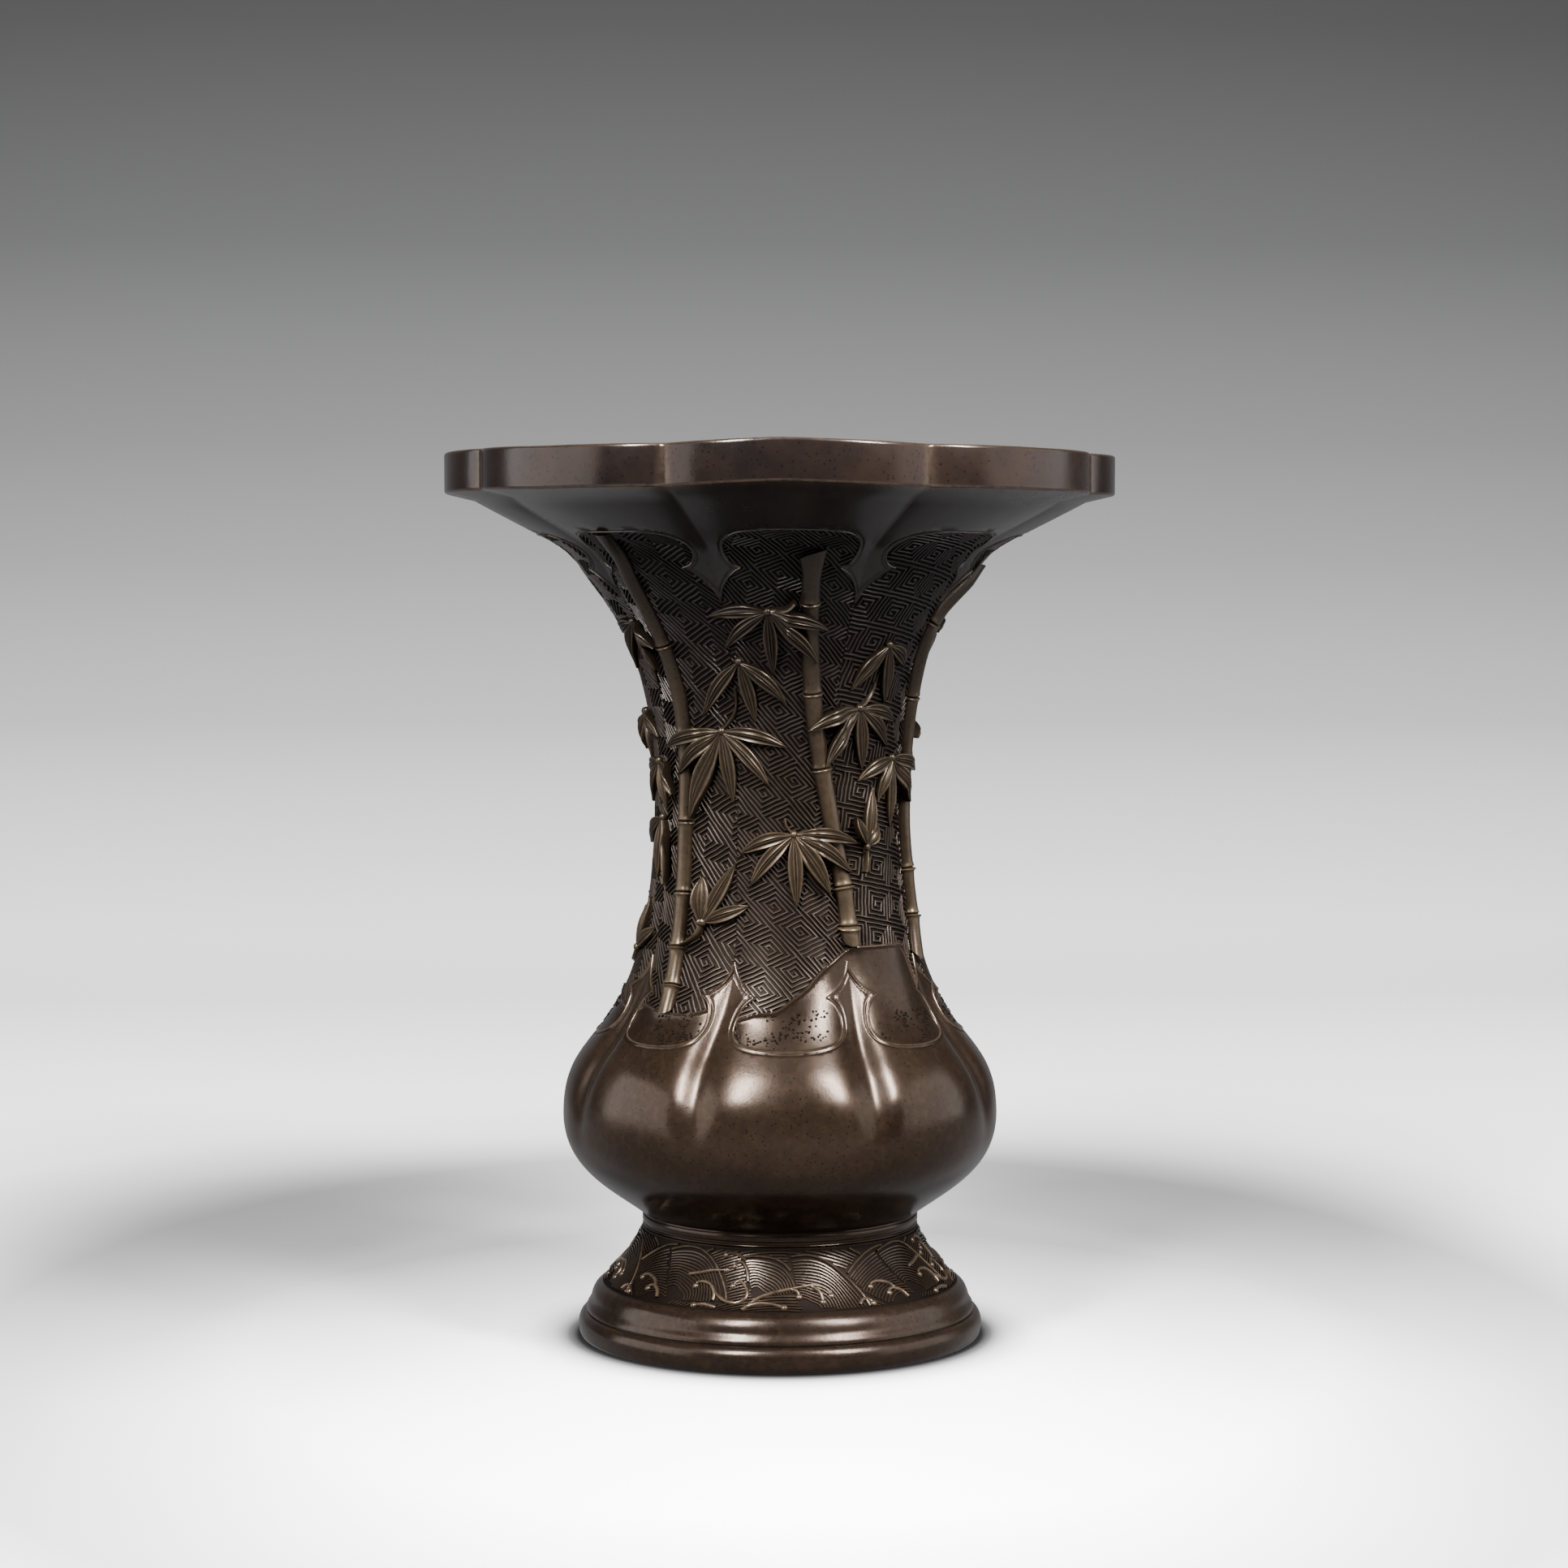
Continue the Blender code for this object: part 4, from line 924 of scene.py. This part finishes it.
def twig(direction, length):
    """Short stem of a spray, which tapers and bends a little."""
    direction = math.radians(direction)
    shares = np.linspace(0.0, 1.0, 9)
    bend = 0.14 * length * shares * (1 - shares) * 4 * (1 if math.sin(direction) > 0 else -1)
    forward = np.array([math.sin(direction), math.cos(direction)])
    side = np.array([math.cos(direction), -math.sin(direction)])
    path = (0.4 + shares * (length - 0.4))[:, None] * forward + bend[:, None] * side
    taper = 1.0 - 0.35 * shares + 0.25 * np.exp(-((shares - 0.95) / 0.08) ** 2)
    return bar(path, round_section(1.5, -1.0, 1.5), (0.0, 0.3, 0.6, 0.7, 0.6, 0.3, 0.0), taper)


def make_spray(name, material, chance):
    """Spray of bamboo leaves with its stems and the knob that joins them."""
    (angle, height), leaves, twigs = SPRAYS[name]
    parts = [leaf(direction, length, chance) for direction, length in leaves]
    parts += [twig(direction, length) for direction, length in twigs]
    knob = pellet(1.0, 2, 0.5, (1.35, 1.5, 1.5))
    bmesh.ops.translate(knob, verts=knob.verts, vec=(0.0, 0.0, 0.7))
    work = gather(parts + [knob])
    flat = flat_places(work)
    arc = float(BODY.arc_at(height + SEAT))
    ground = BODY.lay(flat * (1, 1, 0), angle, arc, 0.5)
    lifted = flat.copy()
    high = flat[:, 2] > -0.9
    lifted[:, 2] += over_canes(ground) * np.where(high, 1.0, 0.75)
    set_places(work, BODY.lay(lifted, angle, arc, 0.5))
    return finish_piece(f"leaves_{name[-2:]}", work, material, name, 50)


def make_foot(material):
    stations = [0.0]
    for arc in FOOT.arcs[1:-1]:
        if arc - stations[-1] > 0.12:
            stations.append(float(arc))
    stations.append(float(FOOT.arcs[-1]))
    work = tube(stations, 192)
    angle, arc = tube_places([vertex.co for vertex in work.verts])
    height = FOOT.height_at(arc)
    outer = arc < FOOT.arcs[int(np.argmax(FOOT.heights >= FOOT_HEIGHT))]
    in_band = outer & (height > 18.6) & (height < 37.0)
    # The band under the waves is darker and duller; the lower mouldings a little rubbed.
    wear_and_shading = np.where(in_band, -1.0, np.where(outer & (height < 18.3), 0.15, -0.2))
    set_places(work, FOOT.place(angle, arc, np.zeros(len(arc))))
    set_wear_and_shading(work, wear_and_shading)
    return finish_piece("foot_casting", work, material, "foot", 45)


# Waves of one quarter of the foot's band, as (across, up) in mm from the middle of the band's foot.
# A fan has its centre, its inner and outer radius, and its two ends in degrees from straight up.
WAVE_FANS = (
    ((7.0, 0.0), 4.5, 20.8, -8, 88),
    ((-8.0, 5.5), 3.5, 15.3, -20, 80),
    ((-37.0, 2.0), 5.0, 20.0, -25, 85),
    ((43.0, -6.0), 10.0, 27.5, -50, 24),
    ((0.0, -34.0), 35.0, 62.0, -46, 46),
)
# Curling crests, each from its thin end to the ball that it ends in
WAVE_CRESTS = (
    ((-10.8, 11.5), (-11.6, 15.6), (-13.8, 18.3), (-16.0, 17.8), (-16.3, 16.6)),
    ((-12.4, 18.9), (-15.5, 20.7), (-18.6, 21.2), (-20.4, 20.3)),
    ((-21.2, 6.9), (-17.5, 4.0), (-13.7, 3.2), (-11.0, 5.0), (-10.6, 7.8), (-12.0, 10.6), (-14.3, 11.5),
     (-15.8, 9.7)),
    ((-21.2, 3.7), (-21.4, 6.4), (-23.2, 9.4), (-26.3, 10.4), (-28.6, 9.9), (-28.9, 8.6)),
    ((-19.6, 1.0), (-23.5, 1.9), (-26.9, 1.3)),
    ((-11.4, 0.6), (-9.2, 3.0), (-6.9, 5.4), (-2.5, 7.4), (1.9, 8.6), (6.3, 9.5), (10.2, 10.1), (13.6, 9.6),
     (15.8, 8.0), (16.5, 6.0)),
    ((3.4, 9.0), (5.6, 7.8), (6.1, 6.0)),
    ((10.4, 9.8), (13.0, 7.2), (13.5, 3.8)),
    ((-9.8, 2.2), (-6.4, 3.4), (-2.5, 3.2), (1.3, 2.0)),
    ((40.5, 5.5), (38.5, 8.2), (34.5, 9.6), (31.8, 9.2), (31.2, 8.0)),
    ((43.6, 2.0), (42.2, 4.6), (39.7, 6.2), (37.6, 5.8), (37.2, 4.7)),
    ((24.8, 1.6), (26.2, 3.4), (28.4, 3.4), (29.6, 1.7)),
    ((-33.0, 12.5), (-29.0, 13.4), (-24.5, 14.6), (-19.0, 15.2)),
)
BAND_RADIUS = 54.0
WAVE_GAP = 1.05


def fan_lines(top):
    """Runs of points along the fans' lines, and whether each is bold. An earlier fan hides a later one."""
    runs = []
    for index, ((x, y), inner, outer, start, end) in enumerate(WAVE_FANS):
        radii = [outer] + list(np.arange(outer - 1.6, inner, -WAVE_GAP))
        for radius in radii:
            steps = max(8, round(radius * math.radians(end - start)))
            turns = np.radians(np.linspace(start, end, steps))
            sway = 0.35 * np.sin(5.0 * turns + 0.3 * radius)
            across = x + (radius + sway) * np.sin(turns)
            up = y + (radius + sway) * np.cos(turns)
            keep = (up > 0.35) & (up < top)
            for (other_x, other_y), _, other_outer, other_start, other_end in WAVE_FANS[:index]:
                for shift in (-1, 0, 1):
                    gap = across - other_x + shift * math.tau * BAND_RADIUS / 4
                    bearing = np.degrees(np.arctan2(gap, up - other_y))
                    covers = (bearing > other_start - 3) & (bearing < other_end + 3)
                    keep &= ~(covers & (np.hypot(gap, up - other_y) < other_outer + 0.5))
            run = []
            for point in [*zip(across, up, keep), (0.0, 0.0, False)]:
                if point[2]:
                    run.append(point[:2])
                elif run:
                    if len(run) > 2:
                        runs.append((run, radius == outer))
                    run = []
    return runs


def make_waves(material):
    """Fans of fine lines and curling crests on the foot's hollow band."""
    base = float(FOOT.arc_at(18.9))
    top = float(FOOT.arc_at(36.6)) - base
    fine = ((-0.34, -0.3), (-0.2, 0.42), (0.2, 0.42), (0.34, -0.3))
    bold = round_section(1.1, -0.3, 0.75)
    crest = round_section(1.7, -0.3, 1.15)
    # Crests and fine lines rubbed on top, darker at their feet, partly patina and partly painted shade.
    crest_wear_and_shading = (-0.4, 0.4, 0.9, 1.0, 0.9, 0.4, -0.4)
    parts = []
    for run, is_bold in fan_lines(top):
        parts.append(bar(run, bold, crest_wear_and_shading) if is_bold else bar(run, fine, (-1.0, 0.35, 0.35, -1.0)))
    for points in WAVE_CRESTS:
        path = smooth_line(points, 0.6)
        shares = np.linspace(0.0, 1.0, len(path))
        taper = 0.6 + 0.4 * np.sin(math.pi * np.minimum(1.0, 0.15 + 0.85 * shares) ** 0.8)
        parts.append(bar(path, crest, crest_wear_and_shading, taper))
        ball = pellet(1.15, 2, 0.9, (1.0, 1.0, 0.75))
        bmesh.ops.translate(ball, verts=ball.verts, vec=(*points[-1], 0.15))
        parts.append(ball)
    quarter = gather(parts)
    work = gather([quarter.copy() for _ in range(3)] + [quarter])
    flat = flat_places(work)
    turn = np.degrees(flat[:, 0] / BAND_RADIUS) - 3.0
    turn += 90.0 * np.repeat(np.arange(4), len(flat) // 4)
    set_places(work, FOOT.place(turn, base + flat[:, 1], flat[:, 2]))
    return finish_piece("foot_waves", work, material, "foot", 50)


class Finish:
    """Material built from nodes, on the piece's own coordinates in metres."""

    def __init__(self, name):
        self.material = bpy.data.materials.new(name)
        self.material.use_nodes = True
        self.tree = self.material.node_tree
        self.shader = self.tree.nodes["Principled BSDF"]
        self.place = self.tree.nodes.new("ShaderNodeTexCoord").outputs["Object"]

    def node(self, kind, **settings):
        made = self.tree.nodes.new(kind)
        for key, value in settings.items():
            if isinstance(value, bpy.types.NodeSocket):
                self.tree.links.new(value, made.inputs[key.replace("_", " ")])
            elif key in made.bl_rna.properties and not isinstance(value, float):
                setattr(made, key, value)
            else:
                made.inputs[key.replace("_", " ")].default_value = value
        return made

    def noise(self, scale, detail=4.0, rough=0.55):
        return self.node("ShaderNodeTexNoise", Vector=self.place, Scale=scale, Detail=detail,
                         Roughness=rough).outputs["Fac"]

    def ramp(self, value, *stops):
        """Greys that follow a value."""
        made = self.node("ShaderNodeValToRGB", Fac=value)
        points = made.color_ramp.elements
        while len(points) < len(stops):
            points.new(0.5)
        for point, (place, grey) in zip(points, stops):
            point.position = place
            point.color = (grey, grey, grey, 1.0)
        return made.outputs["Color"]

    def mix(self, share, low, high, blend="MIX"):
        made = self.tree.nodes.new("ShaderNodeMix")
        made.data_type = "RGBA"
        made.blend_type = blend
        for index, value in ((0, share), (6, low), (7, high)):
            if isinstance(value, bpy.types.NodeSocket):
                self.tree.links.new(value, made.inputs[index])
            elif index == 0:
                made.inputs[index].default_value = value
            else:
                made.inputs[index].default_value = (*value, 1.0)
        return made.outputs[2]

    def product(self, first, second):
        return self.mix(1.0, first, second, "MULTIPLY")

    def spread(self, value, low, high, new_low=0.0, new_high=1.0):
        made = self.tree.nodes.new("ShaderNodeMapRange")
        made.clamp = True
        self.tree.links.new(value, made.inputs[0])
        for index, bound in zip((1, 2, 3, 4), (low, high, new_low, new_high)):
            made.inputs[index].default_value = bound
        return made.outputs[0]

    def join(self, operation, first, second):
        made = self.node("ShaderNodeMath", operation=operation)
        self.tree.links.new(first, made.inputs[0])
        self.tree.links.new(second, made.inputs[1])
        return made.outputs[0]

    def attribute(self, name):
        made = self.tree.nodes.new("ShaderNodeAttribute")
        made.attribute_name = name
        return made.outputs["Fac"]

    def oval(self, centre=(0.0, 0.0), radii=(1.0, 1.0)):
        """Distance from a centre on the floor, in shares of the two radii of an oval round it."""
        shift = self.node("ShaderNodeMapping", Vector=self.place)
        shift.inputs["Location"].default_value = (-centre[0] / radii[0], -centre[1] / radii[1], 0.0)
        shift.inputs["Scale"].default_value = (1 / radii[0], 1 / radii[1], 1.0)
        far = self.node("ShaderNodeVectorMath", operation="LENGTH")
        self.tree.links.new(shift.outputs["Vector"], far.inputs[0])
        return far.outputs["Value"]

    def bump(self, height, strength, distance, under=None):
        made = self.tree.nodes.new("ShaderNodeBump")
        made.inputs["Strength"].default_value = strength
        made.inputs["Distance"].default_value = distance
        self.tree.links.new(height, made.inputs["Height"])
        if under is not None:
            self.tree.links.new(under, made.inputs["Normal"])
        return made.outputs["Normal"]

    def use(self, socket, value):
        if isinstance(value, bpy.types.NodeSocket):
            self.tree.links.new(value, self.shader.inputs[socket])
        else:
            self.shader.inputs[socket].default_value = value


RIM_DARK = (0.013, 0.0095, 0.0085)
RIM_BROWN = (0.026, 0.0155, 0.0120)
METAL_SHARE = 0.66
PIT_SHARE = 0.85


def darker(colour, share):
    return tuple(share * part for part in colour)


def bronze(name, dark, mid, warm, worn_and_highlit, rough, upper):
    """Patinated bronze: clouded brown, darker in the hollows, partly patina and partly painted shade, and
    rubbed on the high places, with painted highlights on the rim and painted shade high on the vase.
    """
    finish = Finish(name)
    cloud = finish.noise(22.0, 8.0, 0.62)
    fine = finish.noise(420.0, 3.0, 0.6)
    grain = finish.noise(1500.0, 2.0, 0.5)
    mottle = finish.noise(95.0, 6.0, 0.7)
    colour = finish.mix(finish.spread(cloud, 0.30, 0.60), dark, mid)
    colour = finish.mix(finish.spread(fine, 0.45, 0.72, 0.0, 0.6), colour, warm)
    colour = finish.mix(finish.spread(mottle, 0.42, 0.66, 0.0, 0.55), colour, dark)
    # Painted shade: high on the vase the colour turns darker and greyer, for the dark reflections the flare
    # shows. The rim band keeps its own brown tone.
    if upper:
        height = finish.node("ShaderNodeSeparateXYZ", Vector=finish.place).outputs["Z"]
        colour = finish.mix(finish.spread(height, 0.185, 0.262), colour, upper)
        rim_tone = finish.mix(finish.spread(cloud, 0.38, 0.64), RIM_DARK, RIM_BROWN)
        colour = finish.mix(finish.spread(height, 0.2835, 0.2865), colour, rim_tone)
    pits = finish.node("ShaderNodeTexVoronoi", Vector=finish.place, Scale=560.0).outputs["Distance"]
    colour = finish.mix(finish.spread(pits, 0.06, 0.27, PIT_SHARE, 0.0), colour, darker(dark, 0.35))
    # Darker in the sunk ground, grooves and hollows: partly patina, partly painted shade.
    wear_and_shading = finish.attribute("wear_and_shading")
    sunk = finish.spread(wear_and_shading, -1.0, 0.0, 0.85, 0.0)
    colour = finish.mix(sunk, colour, darker(dark, 0.2))
    # Lighter on the rubbed high places, and on the rim's edges and cusps, where it is partly painted
    # highlight.
    rubbed_and_highlit = finish.spread(wear_and_shading, 0.25, 1.1, 0.0, 0.85)
    # The rubbed colour fades high on the vase, with the painted shade there.
    if upper:
        rubbed_and_highlit = finish.join("MULTIPLY", rubbed_and_highlit, finish.spread(height, 0.17, 0.255, 1.0, 0.6))
    patches = finish.ramp(fine, (0.3, 0.35), (0.62, 1.0))
    colour = finish.mix(finish.mix(rubbed_and_highlit, (0.0, 0.0, 0.0), patches), colour, worn_and_highlit)
    finish.use("Base Color", colour)
    finish.use("Metallic", METAL_SHARE)
    polish = finish.spread(cloud, 0.3, 0.7, rough - 0.05, rough + 0.1)
    finish.use("Roughness", finish.join("ADD", polish, finish.spread(wear_and_shading, -1.0, -0.2, 0.32, 0.0)))
    finish.use("Specular IOR Level", 0.35)
    # Reflections dimmed in the sunk places: painted shade over them.
    finish.use("Specular Tint", finish.mix(sunk, (1.0, 1.0, 1.0), (0.12, 0.12, 0.12)))
    finish.use("Normal", finish.bump(fine, 0.22, 0.00012, finish.bump(grain, 0.25, 0.00006)))
    return finish.material


# Greys of the sweep at heights of 0.02 to 1.1 m, as shares of that span: painted falloff of the light, darker
# higher up
SWEEP_PAINTED_FALLOFF = ((0.0, 0.86), (0.046, 0.66), (0.125, 0.39), (0.2435, 0.236), (0.338, 0.165), (0.503, 0.092),
               (0.69, 0.055), (1.0, 0.027))
# Painted soft shadows on the floor: centre and radii in metres, and depth
PAINTED_FLOOR_SHADOWS = (((-0.155, 0.165), (0.16, 0.21), 0.72), ((0.155, 0.165), (0.14, 0.21), 0.66))
# The paper as anything but the camera sees it: a dim copy, so the metal reflects and takes bounce light from
# a painted-dark floor
PAPER_DIMMED_IN_METAL = (0.11, 0.11, 0.113)


def paper():
    """Finish of the sweep: painted greys that darken with height, painted shadows on the floor, a painted
    contact shadow and falloff, and a painted pool of light that glows.
    """
    finish = Finish("studio_paper")
    parts = finish.node("ShaderNodeSeparateXYZ", Vector=finish.place)
    colour = finish.ramp(finish.spread(parts.outputs["Z"], 0.02, 1.1), *SWEEP_PAINTED_FALLOFF)
    for centre, radii, depth in PAINTED_FLOOR_SHADOWS:
        far = finish.spread(finish.oval(centre, radii), 0.0, 2.0)
        shade = finish.ramp(far, (0.0, 1 - depth), (0.3, 1 - 0.8 * depth), (0.65, 1 - 0.2 * depth),
                            (1.0, 1.0))
        colour = finish.product(colour, shade)
    # Painted contact shadow: the foot's dark line on the paper, and the painted falling off of the light in a
    # wide oval round it
    painted_ground_shade = finish.ramp(finish.spread(finish.oval(), 0.066, 0.096), (0.0, 0.004), (0.1, 0.012),
                          (0.2, 0.08), (0.4, 0.45), (0.7, 0.85), (1.0, 1.0))
    falloff = finish.ramp(finish.spread(finish.oval(radii=(0.15, 0.2)), 0.0, 3.0), (0.40, 1.0), (0.46, 0.8),
                          (0.56, 0.58), (0.62, 0.5), (0.75, 0.85), (0.9, 1.0))
    painted_ground_shade = finish.product(painted_ground_shade, falloff)
    # Painted pool of light: the paper glows in an oval in front of the foot, seen by the camera only.
    away = finish.oval((0.0, -0.14 / 0.62), (1.0, 1 / 0.62))
    painted_light_pool = finish.ramp(finish.spread(away, 0.0, 0.26), (0.0, 1.0), (0.35, 0.72), (0.7, 0.2), (1.0, 0.0))
    # The camera sees the painted greys, shadows and glow; every other ray sees the dim copy.
    seen = finish.node("ShaderNodeLightPath").outputs["Is Camera Ray"]
    finish.use("Base Color", finish.mix(seen, PAPER_DIMMED_IN_METAL, finish.product(colour, painted_ground_shade)))
    finish.use("Roughness", 1.0)
    finish.use("Specular IOR Level", 0.0)
    finish.use("Emission Color", finish.mix(seen, (0.0, 0.0, 0.0), finish.product(painted_light_pool, painted_ground_shade)))
    finish.use("Emission Strength", 6.0)
    return finish.material


def make_stage():
    """Pale floor that sweeps up into a grey backdrop."""
    bend = 0.9
    profile = [(-2.2, 0.0), (1.0, 0.0)]
    profile += [(1.0 + bend * math.sin(turn), bend - bend * math.cos(turn))
                for turn in np.linspace(0.1, 1.45, 14)]
    profile.append((2.0, 3.2))
    work = bmesh.new()
    chain = [work.verts.new((-3.2, y, z)) for y, z in profile]
    links = [work.edges.new(pair) for pair in zip(chain, chain[1:])]
    grown = bmesh.ops.extrude_edge_only(work, edges=links)["geom"]
    bmesh.ops.translate(work, verts=[item for item in grown if isinstance(item, bmesh.types.BMVert)],
                        vec=(6.4, 0, 0))
    bmesh.ops.recalc_face_normals(work, faces=work.faces)
    mesh = bpy.data.meshes.new("studio_sweep")
    work.to_mesh(mesh)
    work.free()
    mesh.shade_smooth()
    mesh.materials.append(paper())
    sweep = bpy.data.objects.new("studio_sweep", mesh)
    bpy.context.scene.collection.objects.link(sweep)


def softbox(name, azimuth, elevation, distance, width, height, power, target=(0, 0, 0.15)):
    """Area light that faces the vase from an azimuth, with 0 in front and 90 on the right."""
    turn, rise = math.radians(azimuth), math.radians(elevation)
    aim = Vector(target)
    place = aim + distance * Vector((math.sin(turn) * math.cos(rise), -math.cos(turn) * math.cos(rise),
                                     math.sin(rise)))
    light = bpy.data.lights.new(name, "AREA")
    light.shape = "RECTANGLE"
    light.size, light.size_y = width, height
    light.energy = power
    lamp = bpy.data.objects.new(name, light)
    lamp.location = place
    lamp.rotation_euler = (aim - place).to_track_quat("-Z", "Y").to_euler()
    bpy.context.scene.collection.objects.link(lamp)


CAMERA_DISTANCE = 1.152
CAMERA_HEIGHT = 0.250
CAMERA_AZIMUTH, CAMERA_PAN, CAMERA_TILT = -3.0, 0.0685, 3.0933
CAMERA_LENS = 77.94


def make_camera():
    camera = bpy.data.cameras.new("camera")
    camera.lens = CAMERA_LENS
    camera.sensor_width = 36.0
    eye = bpy.data.objects.new("camera", camera)
    azimuth, pan, tilt = [math.radians(turn) for turn in (CAMERA_AZIMUTH, CAMERA_PAN, CAMERA_TILT)]
    eye.location = (CAMERA_DISTANCE * math.sin(azimuth), -CAMERA_DISTANCE * math.cos(azimuth), CAMERA_HEIGHT)
    heading = pan - azimuth
    look = Vector((math.sin(heading) * math.cos(tilt), math.cos(heading) * math.cos(tilt), -math.sin(tilt)))
    eye.rotation_euler = look.to_track_quat("-Z", "Y").to_euler()
    bpy.context.scene.collection.objects.link(eye)
    bpy.context.scene.camera = eye


def make_lights():
    softbox("left_softbox", -32, 42, 1.5, 0.22, 0.7, 96)
    softbox("right_softbox", 41, 42, 1.5, 0.22, 0.7, 98)
    softbox("top_light", 0, 86, 1.8, 1.0, 0.8, 6, (0, -0.1, 0.0))
    softbox("left_fill", -82, 10, 1.4, 1.4, 1.1, 20)
    softbox("right_fill", 82, 10, 1.4, 1.4, 1.1, 13)
    world = bpy.data.worlds.new("studio")
    world.use_nodes = True
    background = world.node_tree.nodes["Background"]
    background.inputs["Color"].default_value = (0.92, 0.96, 1.0, 1.0)
    background.inputs["Strength"].default_value = 0.15
    bpy.context.scene.world = world


# Patinas: dark, middle, warm and rubbed colour, roughness, and the tint high on the vase. The rubbed colour
# also paints highlights on the rim's edges, and the tint paints shade high on the vase for the flare's dark
# reflections
PATINAS = {
    "body": ((0.0150, 0.0088, 0.0054), (0.0255, 0.0155, 0.0094), (0.037, 0.0215, 0.0125),
             (0.115, 0.082, 0.054), 0.20, (0.028, 0.0235, 0.0230)),
    "ground": ((0.012, 0.0085, 0.007), (0.022, 0.0155, 0.012), (0.028, 0.019, 0.0135),
               (0.056, 0.042, 0.033), 0.36, (0.0225, 0.0195, 0.0200)),
    "relief": ((0.018, 0.0120, 0.007), (0.030, 0.0200, 0.0115), (0.042, 0.027, 0.013),
               (0.090, 0.063, 0.039), 0.30, (0.022, 0.0165, 0.0125)),
    "foot": ((0.0125, 0.0078, 0.0054), (0.022, 0.0133, 0.0088), (0.034, 0.0195, 0.0108),
             (0.100, 0.070, 0.046), 0.22, None),
    "plate": ((0.030, 0.022, 0.015), (0.060, 0.045, 0.030), (0.08, 0.06, 0.03),
              (0.15, 0.11, 0.07), 0.6, None),
}
finishes = {name: bronze(f"{name}_patina", *values) for name, values in PATINAS.items()}

make_body(finishes["body"])
make_beads(finishes["body"])
make_dots(finishes["body"], random.Random(8))
fret_chance = random.Random(5)
for lobe in range(LOBES):
    make_fret(lobe, finishes["ground"], fret_chance)
for name in CANES:
    make_cane(name, finishes["relief"])
leaf_chance = random.Random(3)
for name in SPRAYS:
    make_spray(name, finishes["relief"], leaf_chance)
make_foot(finishes["foot"])
make_waves(finishes["foot"])
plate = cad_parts["base_plate"]
for slot in plate.material_slots:
    slot.material = finishes["plate"]

make_stage()
make_lights()
make_camera()
